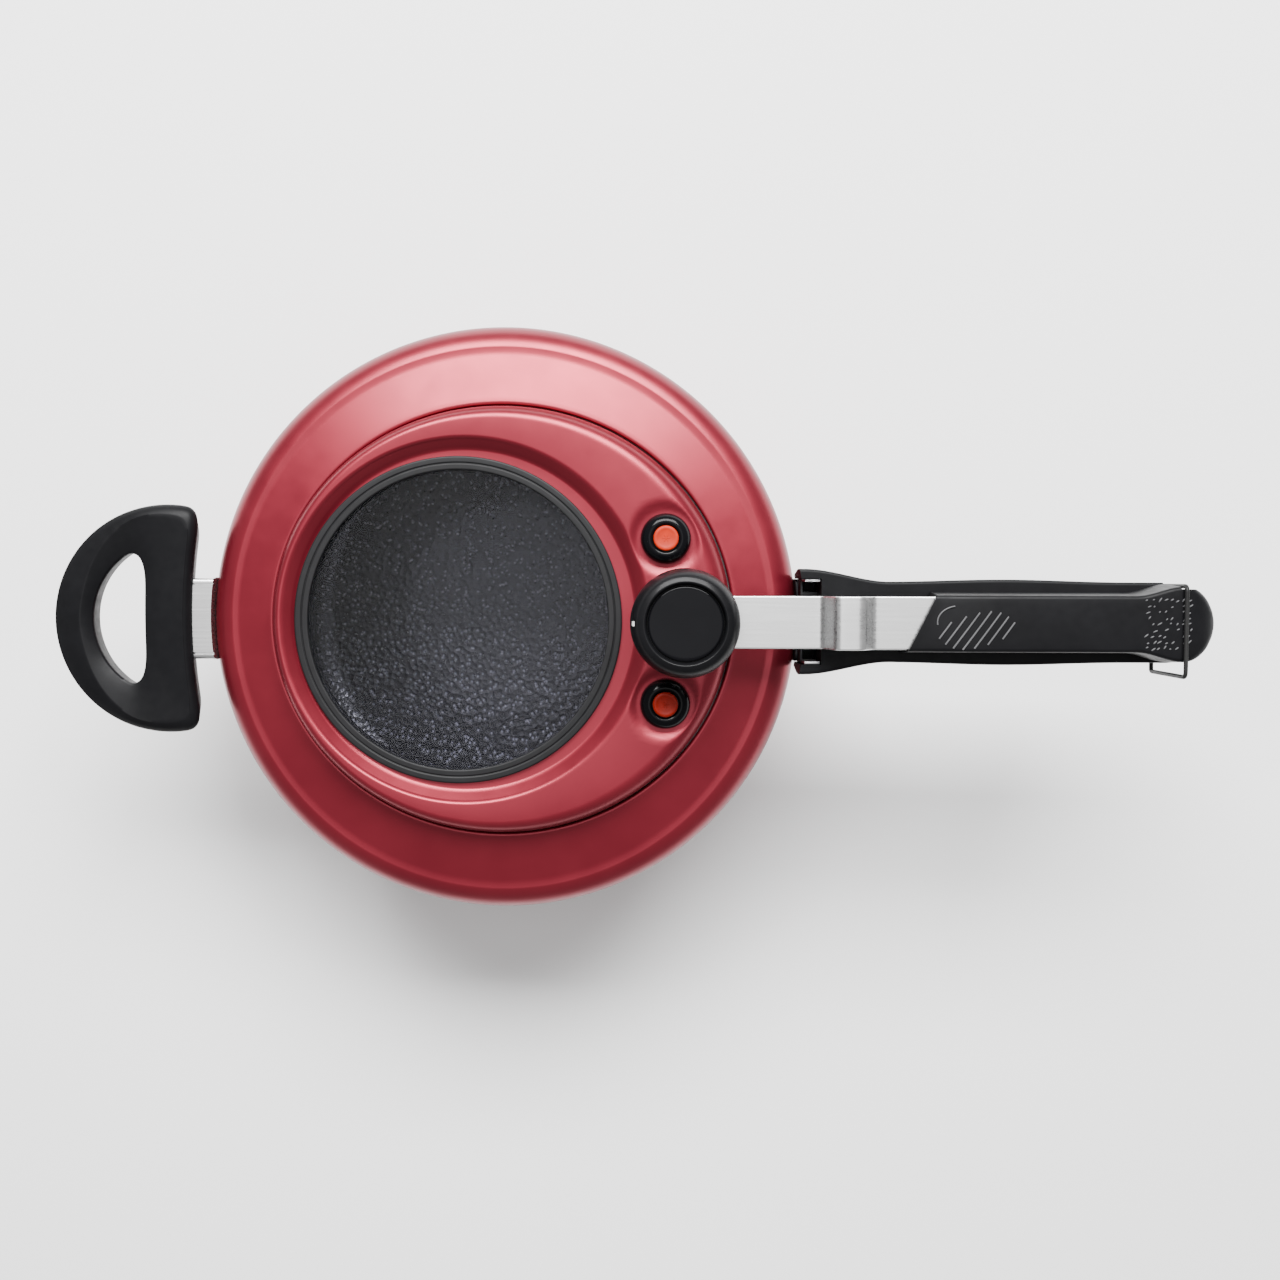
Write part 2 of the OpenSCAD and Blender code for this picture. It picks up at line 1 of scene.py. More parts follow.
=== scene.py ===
"""Looks of the pressure cooker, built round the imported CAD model.

Lengths in this script are millimetres in the CAD frame until a mesh is made: +Z is up, +X runs
along the long handles, and the origin is the centre of the pot's base.
"""

import bmesh
import bpy
import numpy as np
from mathutils import Matrix, Vector


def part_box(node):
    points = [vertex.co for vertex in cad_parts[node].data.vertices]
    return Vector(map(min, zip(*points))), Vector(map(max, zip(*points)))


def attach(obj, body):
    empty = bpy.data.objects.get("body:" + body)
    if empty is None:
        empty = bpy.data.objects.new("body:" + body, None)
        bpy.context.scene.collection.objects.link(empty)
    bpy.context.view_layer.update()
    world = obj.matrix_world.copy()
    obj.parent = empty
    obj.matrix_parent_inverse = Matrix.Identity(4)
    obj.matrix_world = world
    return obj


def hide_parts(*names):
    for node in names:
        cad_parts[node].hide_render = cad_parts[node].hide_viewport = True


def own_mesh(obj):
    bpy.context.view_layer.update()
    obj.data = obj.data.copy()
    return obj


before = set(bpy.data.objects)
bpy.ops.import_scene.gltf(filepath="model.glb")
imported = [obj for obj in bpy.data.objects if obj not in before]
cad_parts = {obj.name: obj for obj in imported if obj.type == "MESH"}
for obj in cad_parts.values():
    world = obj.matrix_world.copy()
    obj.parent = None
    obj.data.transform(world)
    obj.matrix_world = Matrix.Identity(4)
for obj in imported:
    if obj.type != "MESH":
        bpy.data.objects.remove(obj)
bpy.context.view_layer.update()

MM = 0.001
ROUND = 256  # points round a large ring
DRILL_LOW = 80  # cutters that go right through start here
DRILL_HIGH = 140


def box(node):
    """Lowest and highest corner of a CAD node, in millimetres."""
    low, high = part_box(node)
    return np.array(low) / MM, np.array(high) / MM


def centre(node):
    """Middle of a CAD node, in millimetres."""
    low, high = box(node)
    return (low + high) / 2


# ---------------------------------------------------------------- sizes from the frame
# The plain numbers here and in the outlines are those that no node's box can give.

POT_HIGH = box("pot_body")[1]
POT_R = POT_HIGH[1]
POT_WIDE_Z = 100
POT_WALL = 3.4
BASE_R = 94
BASE_CORNER_R = 20
FLOOR_Z = 4.5
SHOULDER_BLEND = 12
SHOULDER_SLOPE = 0.1986
SHOULDER_TOP_R = 84
LEDGE_Z = POT_HIGH[2] - 3.9
LEDGE_R = 99
STUD_R = 2.4
STUD_Z = 88
STUD_Y = 11  # the two studs of a bracket stand this far to each side

LID_LOW, LID_HIGH = box("lid_shell")
LID_TOP = LID_HIGH[2]
FLANGE_OUT = 3.5
MOUTH_A = LID_HIGH[0] - FLANGE_OUT
MOUTH_B = LID_HIGH[1] - FLANGE_OUT
MOUTH_GAP = 0.6
FLANGE_Z = LID_LOW[2]
FLANGE_T = 1.7
LID_T = 2.6
RECESS_X = -14.5
RECESS_LOW_R = 68.6
RECESS_TOP_R = 71.6
SEAT_Z = 121.5
SEAT_LOW_Z = 118.9
DISH_DEPTH = 1.5  # of the dished seat round each valve
VALVE_NECK_R = 6.5

GLASS_LOW, GLASS_HIGH = box("window_glass")
WINDOW_X = centre("window_glass")[0]
GLASS_R = GLASS_HIGH[1]
CLAMP_SCREW_RING_R = 65
RING_LOW, RING_HIGH = box("window_gasket")
WINDOW_HOLE_R = RING_HIGH[1] - 2
RING_VIEW_R = RING_HIGH[1] - 5.5

POST_LOW, POST_HIGH = box("vent_post")
POST_X = centre("vent_post")[0]
POST_R = 4
KNOB_LOW, KNOB_HIGH = box("knob_shell")
KNOB_R = KNOB_HIGH[1]
CAP_LOW, CAP_HIGH = box("knob_cap")
WEIGHT_LOW, WEIGHT_HIGH = box("regulator_weight")

STRAP_LOW, STRAP_HIGH = box("lever_strap")
STRAP_W = 2 * STRAP_HIGH[1]
STRAP_T = 2
STRAP_RISE = 6  # the grip end of the strap lies this much higher than the post end
RIVET_HEAD_R = 4
RIVET_R = 2.4
HOOK_LOW, HOOK_HIGH = box("fulcrum_hook")
ROLL_R = 3.9
ROLL_X = HOOK_HIGH[0] - ROLL_R
ROLL_Z = HOOK_HIGH[2] - ROLL_R

GRIP_LOW, GRIP_HIGH = box("body_handle")
LID_GRIP_LOW, LID_GRIP_HIGH = box("lid_handle")
BAIL_LOW, BAIL_HIGH = box("lock_bail")
BAIL_X = centre("lock_bail")[0]
GRIP_END_R = GRIP_HIGH[0] - BAIL_X
LID_GRIP_END = LID_GRIP_HIGH[0] - 1.4
LID_GRIP_FRONT = 158
GRIP_CROWN = 0.35  # the lid handle's top is this much higher in its middle than at its edges
HELPER_LOW, HELPER_HIGH = box("helper_handle")
HELPER_HOLE_X = -154.0
SCREW_HEAD_R = 3.8
BRACKET_SHELF = 12  # half the width of the shelf that the lower handle slides onto
PLATE_HALF = 17  # half the width of the plates bent to the pot's wall


# ---------------------------------------------------------------- materials


class Finish:
    """A procedural material, built up one layer at a time."""

    def __init__(self, name, colour, roughness, **sockets):
        self.material = bpy.data.materials.new(name)
        self.material.use_nodes = True
        self.nodes = self.material.node_tree.nodes
        self.links = self.material.node_tree.links
        self.shader = self.nodes["Principled BSDF"]
        self.shader.inputs["Base Color"].default_value = (*colour, 1)
        self.shader.inputs["Roughness"].default_value = roughness
        for socket, value in sockets.items():
            self.shader.inputs[socket.replace("_", " ")].default_value = value
        self.place = self.nodes.new("ShaderNodeTexCoord").outputs["Object"]
        self.height = None

    def stretched(self, stretch):
        """Object coordinates scaled along each axis: under 1 makes a pattern longer."""
        mapping = self.nodes.new("ShaderNodeMapping")
        mapping.inputs["Scale"].default_value = stretch
        self.links.new(self.place, mapping.inputs["Vector"])
        return mapping.outputs["Vector"]

    def noise(self, size, detail=3, stretch=(1, 1, 1)):
        """Noise whose patches are about size millimetres across."""
        node = self.nodes.new("ShaderNodeTexNoise")
        node.inputs["Scale"].default_value = 1 / (size * MM)
        node.inputs["Detail"].default_value = detail
        self.links.new(self.stretched(stretch), node.inputs["Vector"])
        return node.outputs["Fac"]

    def cells(self, size, smooth=0.3):
        """Distance from the middle of rounded cells about size millimetres across."""
        node = self.nodes.new("ShaderNodeTexVoronoi")
        node.feature = "SMOOTH_F1"
        node.inputs["Scale"].default_value = 1 / (size * MM)
        node.inputs["Smoothness"].default_value = smooth
        self.links.new(self.stretched((1, 1, 1)), node.inputs["Vector"])
        return node.outputs["Distance"]

    def span(self, value, low, high, start=0.3, end=0.7):
        """The value, remapped so start gives low and end gives high."""
        node = self.nodes.new("ShaderNodeMapRange")
        node.inputs["From Min"].default_value = start
        node.inputs["From Max"].default_value = end
        node.inputs["To Min"].default_value = low
        node.inputs["To Max"].default_value = high
        self.links.new(value, node.inputs["Value"])
        return node.outputs["Result"]

    def vary_roughness(self, value, low, high, start=0.3, end=0.7):
        """Roughness from low to high as the value goes from start to end."""
        self.links.new(self.span(value, low, high, start, end), self.shader.inputs["Roughness"])
        return self

    def vary_colour(self, value, first, second, start=0.3, end=0.7):
        """Colour from first to second as the value goes from start to end."""
        node = self.nodes.new("ShaderNodeMix")
        node.data_type = "RGBA"
        node.inputs["A"].default_value = (*first, 1)
        node.inputs["B"].default_value = (*second, 1)
        self.links.new(self.span(value, 0, 1, start, end), node.inputs["Factor"])
        self.links.new(node.outputs["Result"], self.shader.inputs["Base Color"])
        return self

    def bump(self, value, depth, strength=1.0):
        """Adds relief about depth millimetres deep, on top of any relief already there."""
        node = self.nodes.new("ShaderNodeBump")
        node.inputs["Strength"].default_value = strength
        node.inputs["Distance"].default_value = depth * MM
        self.links.new(value, node.inputs["Height"])
        if self.height is not None:
            self.links.new(self.height, node.inputs["Normal"])
        self.height = node.outputs["Normal"]
        self.links.new(self.height, self.shader.inputs["Normal"])
        return self


def red_lacquer(name):
    """Satin metallic red, with a faint cloud and a fine grain."""
    finish = Finish(
        name, (0.19, 0.012, 0.023), 0.36, Metallic=0.75, Coat_Weight=0.15, Coat_Roughness=0.25
    )
    cloud = finish.noise(55, 2)
    finish.vary_colour(cloud, (0.175, 0.010, 0.021), (0.205, 0.014, 0.026))
    finish.vary_roughness(finish.noise(9, 4), 0.33, 0.39)
    finish.bump(finish.noise(0.45, 2), 0.006, 0.5)
    return finish.bump(finish.noise(7, 3), 0.02, 0.35).material


def nonstick():
    """The dark hammered coating inside the pot, with pale specks in the middle of each dent that are
    painted highlights.
    """
    finish = Finish("hammered_nonstick", (0.010, 0.010, 0.012), 0.34, Coat_Weight=0.15)
    dents_and_glints = finish.cells(2.3, 0.2)
    # Pale specks at the cells' middles: painted highlights, as of light glinting on the hammered dents.
    finish.vary_colour(dents_and_glints, (0.17, 0.17, 0.20), (0.006, 0.006, 0.008), 0.10, 0.36)
    finish.vary_roughness(finish.noise(1.4, 3), 0.26, 0.44)
    finish.bump(dents_and_glints, 0.5, 0.9)
    return finish.bump(finish.noise(0.9, 3), 0.08, 0.6).material


def machined_aluminium():
    """Bare turned aluminium."""
    finish = Finish("machined_aluminium", (0.62, 0.62, 0.63), 0.32, Metallic=1.0)
    finish.vary_roughness(finish.noise(5, 5), 0.25, 0.42)
    return finish.bump(finish.noise(0.5, 2), 0.01, 0.5).material


def brushed_steel(name, colour, roughness, stretch, depth=0.012):
    """Steel with fine lines, drawn out along the axis with the lowest stretch."""
    finish = Finish(name, colour, roughness, Metallic=1.0)
    lines = finish.noise(2.5, 5, stretch)
    finish.vary_roughness(lines, roughness * 0.8, roughness * 1.25)
    finish.vary_colour(lines, tuple(0.94 * c for c in colour), colour)
    finish.bump(lines, depth, 0.5)
    return finish.bump(finish.noise(14, 2), 0.03, 0.25).material


def moulded_black(name, colour, roughness, grain, coat=0.0):
    """Moulded plastic, mostly black, with a grain of a depth in millimetres."""
    finish = Finish(
        name, colour, roughness, Coat_Weight=coat, Coat_Roughness=0.12, Specular_IOR_Level=0.09
    )
    lighter = tuple(1.5 * c for c in colour)
    finish.vary_colour(finish.noise(24, 3), colour, lighter)
    finish.vary_roughness(finish.noise(3, 4), roughness * 0.88, roughness * 1.12)
    return finish.bump(finish.noise(0.4, 3), grain, 0.6).material


def silicone(name, colour, roughness):
    """Dull rubber with a fine grain and slightly uneven colour."""
    finish = Finish(name, colour, roughness, Specular_IOR_Level=0.18)
    finish.vary_colour(finish.noise(6, 4), colour, tuple(1.35 * c for c in colour))
    return finish.bump(finish.noise(0.5, 3), 0.03, 0.5).material


def toughened_glass():
    """Clear pane: mostly see-through, with a surface gloss that grows at a glancing angle."""
    finish = Finish("clear_glass", (0.92, 0.96, 0.95), 0.03)
    clear = finish.nodes.new("ShaderNodeBsdfTransparent")
    clear.inputs["Color"].default_value = (0.88, 0.88, 0.92, 1)
    mix = finish.nodes.new("ShaderNodeMixShader")
    fresnel = finish.nodes.new("ShaderNodeFresnel")
    fresnel.inputs["IOR"].default_value = 1.22
    gloss = finish.nodes.new("ShaderNodeBsdfGlossy")
    gloss.inputs["Roughness"].default_value = 0.04
    output = finish.nodes["Material Output"]
    finish.links.new(fresnel.outputs["Fac"], mix.inputs["Fac"])
    finish.links.new(clear.outputs["BSDF"], mix.inputs[1])
    finish.links.new(gloss.outputs["BSDF"], mix.inputs[2])
    finish.links.new(mix.outputs["Shader"], output.inputs["Surface"])
    finish.nodes.remove(finish.shader)
    return finish.material


def valve_plastic(name, colour):
    """Coloured plastic of a valve's button."""
    finish = Finish(name, colour, 0.45, Specular_IOR_Level=0.15)
    finish.vary_colour(finish.noise(2.5, 3), colour, tuple(1.25 * c for c in colour))
    return finish.bump(finish.noise(0.6, 3), 0.03, 0.5).material


def pale_floor():
    """Matt, nearly white, with a faint grain."""
    finish = Finish("pale_floor", (0.86, 0.86, 0.86), 0.75)
    return finish.bump(finish.noise(1.5, 3), 0.02, 0.3).material


MATERIALS = {
    "pot_enamel": red_lacquer("pot_lacquer"),
    "lid_enamel": red_lacquer("lid_lacquer"),
    "lining": nonstick(),
    "machined": machined_aluminium(),
    "steel": brushed_steel("brushed_steel", (0.52, 0.52, 0.53), 0.30, (0.12, 3, 3)),
    # Steel darkened almost to black: painted shade for the pocket under the strap and the gap between
    # the pot and the lower handle.
    "painted_shade_steel": brushed_steel("shade_darkened_steel", (0.035, 0.035, 0.037), 0.42, (0.12, 3, 3)),
    "bright_steel": brushed_steel("turned_steel", (0.72, 0.72, 0.73), 0.20, (1, 1, 4), 0.006),
    "strap_steel": brushed_steel("strap_steel", (0.66, 0.66, 0.66), 0.30, (0.08, 3, 3), 0.002),
    "handle_plastic": moulded_black("handle_thermoset", (0.0035, 0.0035, 0.004), 0.42, 0.018),
    # A lighter black for the ribs and pips of the lid handle: painted highlight along their ridges.
    "highlight_plastic": moulded_black("highlight_plastic", (0.06, 0.06, 0.062), 0.30, 0.004),
    "knob_plastic": moulded_black("knob_plastic", (0.003, 0.003, 0.0035), 0.38, 0.012, 0.05),
    "valve_gloss": moulded_black("valve_gloss", (0.002, 0.002, 0.0025), 0.14, 0.004, 0.0),
    "knob_gloss": moulded_black("knob_gloss", (0.002, 0.002, 0.0025), 0.10, 0.002, 0.0),
    "seal_rubber": silicone("grey_silicone", (0.07, 0.07, 0.07), 0.55),
    "window_rubber": silicone("black_silicone", (0.006, 0.006, 0.0065), 0.48),
    "window_glass": toughened_glass(),
    # The two buttons share one red in two brightnesses: the lighter copy paints the light on the
    # indicator's button, the darker one paints the shade on the safety valve's.
    "valve_orange": valve_plastic("valve_orange", (0.30, 0.016, 0.004)),
    "valve_red": valve_plastic("valve_red", (0.16, 0.005, 0.001)),
    "wire_black": moulded_black("wire_black", (0.012, 0.012, 0.012), 0.35, 0.01),
    "mark_white": moulded_black("mark_white", (0.55, 0.55, 0.54), 0.5, 0.01),
}


# ---------------------------------------------------------------- mesh helpers


def turn_angles(count=ROUND):
    """Evenly spread angles of one full turn."""
    return np.linspace(0, 2 * np.pi, count, endpoint=False)


def circle(radius, z, x=0.0, y=0.0, count=ROUND):
    """A level ring of points."""
    t = turn_angles(count)
    return np.stack([x + radius * np.cos(t), y + radius * np.sin(t), np.full(count, float(z))], 1)


def mouth_ring(grow, z, count=ROUND):
    """A level ring that follows the oval mouth, grown outward by a distance."""
    t = turn_angles(count)
    return np.stack(
        [(MOUTH_A + grow) * np.cos(t), (MOUTH_B + grow) * np.sin(t), np.full(count, float(z))], 1
    )


def arc(x, z, radius, start, end, steps):
    """Points of an arc from start to end degrees."""
    a = np.radians(np.linspace(start, end, steps + 1))
    return [(x + radius * np.cos(t), z + radius * np.sin(t)) for t in a]


def smooth(value):
    """0 below 0, 1 above 1, with a soft start and end between."""
    value = np.clip(value, 0, 1)
    return value * value * (3 - 2 * value)


def rounded(corners, radii, steps=4, closed=True):
    """A flat outline with its corners rounded. Each corner has its own radius."""
    corners = [np.array(c, float) for c in corners]
    if np.isscalar(radii):
        radii = [radii] * len(corners)
    outline = []
    for i, (corner, radius) in enumerate(zip(corners, radii)):
        ends = not closed and i in (0, len(corners) - 1)
        if radius <= 0 or ends:
            outline.append(tuple(corner))
            continue
        before = corners[i - 1] - corner
        after = corners[(i + 1) % len(corners)] - corner
        reach = min(radius, 0.45 * np.linalg.norm(before), 0.45 * np.linalg.norm(after))
        first = corner + before / np.linalg.norm(before) * reach
        last = corner + after / np.linalg.norm(after) * reach
        for s in np.linspace(0, 1, steps + 1):
            bend = (1 - s) ** 2 * first + 2 * s * (1 - s) * corner + s * s * last
            outline.append(tuple(bend))
    return outline


def add_piece(name, mesh, body, slot, replaces=(), sharp=48, looks=None):
    """Puts a finished mesh, in metres, in the scene as a piece that rides on a body.

    looks names its materials, where they aren't the one named after the slot. Edges over sharp
    degrees stay sharp.
    """
    for polygon in mesh.polygons:
        polygon.use_smooth = True
    mesh.set_sharp_from_angle(angle=np.radians(sharp))
    piece = bpy.data.objects.new(name, mesh)
    bpy.context.scene.collection.objects.link(piece)
    for look in looks or [slot]:
        mesh.materials.append(MATERIALS[look])
    normals = piece.modifiers.new("even_normals", "WEIGHTED_NORMAL")
    normals.keep_sharp = True
    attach(piece, body)
    if replaces:
        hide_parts(*replaces)
    return piece


def mesh_from(name, vertices, faces, face_materials=None):
    """A mesh in metres from millimetre points, with its faces turned outward."""
    mesh = bpy.data.meshes.new(name)
    mesh.from_pydata((np.asarray(vertices, float) * MM).tolist(), [], faces)
    if face_materials is not None:
        mesh.polygons.foreach_set("material_index", face_materials)
    work = bmesh.new()
    work.from_mesh(mesh)
    bmesh.ops.remove_doubles(work, verts=work.verts, dist=1e-7)
    bmesh.ops.recalc_face_normals(work, faces=work.faces)
    work.to_mesh(mesh)
    work.free()
    mesh.update()
    return mesh


def skin(name, rings, loop=False, gap_materials=None):
    """Joins rings of points one after another. Without loop, both ends are closed."""
    rings = [np.asarray(r, float) for r in rings]
    count = len(rings[0])
    vertices = np.concatenate(rings)
    faces = []
    indices = []
    gaps = len(rings) if loop else len(rings) - 1
    for g in range(gaps):
        here = g * count
        there = ((g + 1) % len(rings)) * count
        for k in range(count):
            n = (k + 1) % count
            faces.append((here + k, here + n, there + n, there + k))
            indices.append(gap_materials[g] if gap_materials else 0)
    if not loop:
        last = (len(rings) - 1) * count
        vertices = np.concatenate([vertices, [rings[0].mean(0)], [rings[-1].mean(0)]])
        for k in range(count):
            n = (k + 1) % count
            faces.append((len(vertices) - 2, n, k))
            indices.append(gap_materials[0] if gap_materials else 0)
            faces.append((len(vertices) - 1, last + k, last + n))
            indices.append(gap_materials[-1] if gap_materials else 0)
    return mesh_from(name, vertices, faces, indices)


def lathe(name, outline, x=0.0, y=0.0, count=96, loop=True):
    """Turns an outline of (radius, height) points about a vertical axis."""
    return skin(name, [circle(max(r, 0.02), z, x, y, count) for r, z in outline], loop)


def tube(name, path, radius, closed=False, sides=14):
    """A round wire along a path."""
    path = np.asarray(path, float)
    count = len(path)
    rings = []
    ahead = np.roll(path, -1, 0) - np.roll(path, 1, 0)
    if not closed:
        ahead[0] = path[1] - path[0]
        ahead[-1] = path[-1] - path[-2]
    ahead /= np.linalg.norm(ahead, axis=1)[:, None]
    side = np.cross(ahead[0], (0.31, 0.87, 0.38))
    for i in range(count):
        side = side - ahead[i] * side.dot(ahead[i])
        side /= np.linalg.norm(side)
        other = np.cross(ahead[i], side)
        t = turn_angles(sides)[:, None]
        rings.append(path[i] + radius * (np.cos(t) * side + np.sin(t) * other))
    return skin(name, rings, closed)


def strip(name, path, thickness, half_width, edge=0.45):
    """A bent sheet-metal strip. path is its middle line in X and Z, half_width a function of X."""
    path = np.asarray(path, float)
    ahead = np.gradient(path, axis=0)
    ahead /= np.linalg.norm(ahead, axis=1)[:, None]
    up = np.stack([-ahead[:, 1], ahead[:, 0]], 1)
    rings = []
    for point, lift in zip(path, up):
        w = max(half_width(point[0]), 0.3)
        h = thickness / 2
        section = rounded([(-w, -h), (w, -h), (w, h), (-w, h)], min(edge, h * 0.9), 3)
        rings.append([(point[0] + v * lift[0], u, point[1] + v * lift[1]) for u, v in section])
    return skin(name, rings)


def bent(corners, radii, spacing=2.0):
    """A path through corners with rounded bends and evenly spread points on its straights."""
    turns = rounded(corners, radii, 6, closed=False)
    path = [np.array(turns[0])]
    for point in turns[1:]:
        point = np.array(point)
        step = point - path[-1]
        pieces = max(1, int(np.linalg.norm(step) // spacing))
        start = path[-1]
        for s in range(1, pieces + 1):
            path.append(start + step * s / pieces)
    return np.array(path)


def solid_from(name, outline, low_z, high_z):
    """A prism of a flat outline, as a mesh in metres."""
    n = len(outline)
    vertices = [(x, y, low_z) for x, y in outline] + [(x, y, high_z) for x, y in outline]
    faces = [tuple(range(n))[::-1], tuple(range(n, 2 * n))]
    faces += [(k, (k + 1) % n, n + (k + 1) % n, n + k) for k in range(n)]
    return mesh_from(name, vertices, faces)


def block(low, high):
    """A box-shaped cutter between two corners."""
    (x0, y0, z0), (x1, y1, z1) = low, high
    return solid_from("cutter", [(x0, y0), (x1, y0), (x1, y1), (x0, y1)], z0, z1)


def upright(radius, x, y, low_z=DRILL_LOW, high_z=DRILL_HIGH, count=64):
    """A round cutter that stands along Z. It goes right through, unless heights are given."""
    t = turn_angles(count)
    outline = list(zip(x + radius * np.cos(t), y + radius * np.sin(t)))
    return solid_from("cutter", outline, low_z, high_z)


def combined(mesh, others, operation="DIFFERENCE"):
    """The mesh with the other meshes cut away from it, or added to it."""
    work = bpy.data.objects.new("work", mesh)
    bpy.context.scene.collection.objects.link(work)
    helpers = []
    for other in others:
        helper = bpy.data.objects.new("helper", other)
        bpy.context.scene.collection.objects.link(helper)
        helpers.append(helper)
        modifier = work.modifiers.new("combine", "BOOLEAN")
        modifier.operation = operation
        modifier.solver = "EXACT"
        modifier.object = helper
    depsgraph = bpy.context.evaluated_depsgraph_get()
    result = bpy.data.meshes.new_from_object(work.evaluated_get(depsgraph))
    for each in [work, *helpers]:
        bpy.data.objects.remove(each)
    return result


# ---------------------------------------------------------------- floor, light and camera


def add_stage():
    """A plain pale floor, eight metres square."""
    reach = 4.0
    floor = bpy.data.meshes.new("floor")
    floor.from_pydata(
        [(-reach, -reach, 0), (reach, -reach, 0), (reach, reach, 0), (-reach, reach, 0)],
        [],
        [(0, 1, 2, 3)],
    )
    floor.materials.append(pale_floor())
    plane = bpy.data.objects.new("floor", floor)
    bpy.context.scene.collection.objects.link(plane)


def add_light(name, place, target, size, power):
    """A plain soft panel, in metres and watts, that faces its target."""
    lamp = bpy.data.lights.new(name, "AREA")
    lamp.shape = "RECTANGLE"
    lamp.size, lamp.size_y = size
    lamp.energy = power
    lamp.color = (1.0, 1.0, 1.0)
    holder = bpy.data.objects.new(name, lamp)
    bpy.context.scene.collection.objects.link(holder)
    holder.location = place
    aim = Vector(target) - Vector(place)
    holder.rotation_euler = aim.to_track_quat("-Z", "Y").to_euler()


def add_lights():
    """An even white surround, a large key light toward +Y and a weak one overhead."""
    world = bpy.data.worlds.new("studio")
    bpy.context.scene.world = world
    world.use_nodes = True
    background = world.node_tree.nodes["Background"]
    background.inputs["Color"].default_value = (1, 1, 1, 1)
    background.inputs["Strength"].default_value = 0.48
    add_light("key", (0.05, 1.25, 1.55), (0.0, 0.0, 0.1), (1.7, 0.9), 178)
    add_light("overhead", (0.0, 0.10, 2.0), (0.0, 0.0, 0.1), (1.5, 1.0), 9)


def add_camera():
    """The camera stands over the lid and looks almost straight down."""
    lens = bpy.data.cameras.new("camera")
    lens.sensor_width = 36
    lens.lens = 39.0
    place = Matrix.Translation((0.0539, 0.0171, 0.6762))
    camera = bpy.data.objects.new("camera", lens)
    bpy.context.scene.collection.objects.link(camera)
    roll = Matrix.Rotation(0.003, 4, "Z")
    tip = Matrix.Rotation(-0.0446, 4, "X")
    lean = Matrix.Rotation(-0.0026, 4, "Y")
    camera.matrix_world = place @ roll @ tip @ lean
    bpy.context.scene.camera = camera


# ---------------------------------------------------------------- pot


def on_shoulder(ring):
    """Sets each point's height to that of the sloping shoulder at its radius."""
    ring = ring.copy()
    from_axis = np.hypot(ring[:, 0], ring[:, 1])
    ring[:, 2] = POT_HIGH[2] - SHOULDER_SLOPE * (from_axis - SHOULDER_TOP_R)
    return ring


def pot_base():
    """Outline of the machined base, with its shallow turned grooves, out to the corner."""
    land, groove = 0.5, 0.2
    outline = [(0.5, land)]
    for r in np.arange(10, 74, 4.0):
        outline += [(r - 1.2, land), (r - 0.7, groove), (r + 0.7, groove), (r + 1.2, land)]
    return outline + [(79, land), (80, 0.3), (80.6, 0), (BASE_R, 0)]


def pot_side():
    """Outline of the outside wall, from the rounded base to the start of the shoulder."""
    outline = arc(BASE_R, BASE_CORNER_R, BASE_CORNER_R, -90, -8, 14)
    outline += [(POT_R - 4.2, 35), (POT_R - 1.6, 60), (POT_R - 0.5, 82)]
    return outline + arc(POT_R - SHOULDER_BLEND, POT_WIDE_Z, SHOULDER_BLEND, 0, 80, 20)


def pot_inside():
    """Outline of the lining, from under the ledge down to the middle of the floor."""
    outline = [(LEDGE_R - 1, LEDGE_Z), (LEDGE_R, LEDGE_Z - 0.4)]
    outline += arc(POT_R - SHOULDER_BLEND, POT_WIDE_Z, SHOULDER_BLEND - POT_WALL, 75, 0, 12)
    outline += [(POT_R - 1.6 - POT_WALL, 60)]
    corner_r = BASE_CORNER_R - POT_WALL
    outline += arc(BASE_R - 3, BASE_CORNER_R + 1, corner_r, -8, -90, 16)
    return outline + [(60, FLOOR_Z), (30, FLOOR_Z), (0.5, FLOOR_Z)]


def mouth_rings():
    """Rings that cross the shoulder to the oval mouth, and roll over its lip to the ledge."""
    start = circle(108.5, 0)
    lip = mouth_ring(1.6, 0)
    rings = [on_shoulder(start * (1 - s) + lip * s) for s in np.linspace(0, 1, 12)]
    for drop, grow in ((0.12, 0.95), (0.5, 0.35), (1.1, 0.05), (2.0, 0.0)):
        ring = on_shoulder(mouth_ring(grow, 0))
        ring[:, 2] -= drop
        rings.append(ring)
    rings.append(mouth_ring(0, LEDGE_Z + 0.4))
    rings.append(mouth_ring(0.4, LEDGE_Z))
    return rings


def build_pot():
    """The pot in one mesh, with painted, machined and lined parts."""
    base = [circle(r, z) for r, z in pot_base()]
    side = [circle(r, z) for r, z in pot_side()] + mouth_rings()
    inside = [circle(r, z) for r, z in pot_inside()]
    painted, machined, lining = 0, 1, 2
    finish = [machined] * len(base) + [painted] * (len(side) - 1) + [lining] * len(inside)
    mesh = skin("pot_body", base + side + inside, gap_materials=finish)
    add_piece("pot", mesh, "pot", "pot_enamel", ["pot_body"], looks=["pot_enamel", "machined", "lining"])


def either_side(distance):
    """The two places either side of the centre line, each with the letter that names it."""
    return (-distance, "b"), (distance, "a")


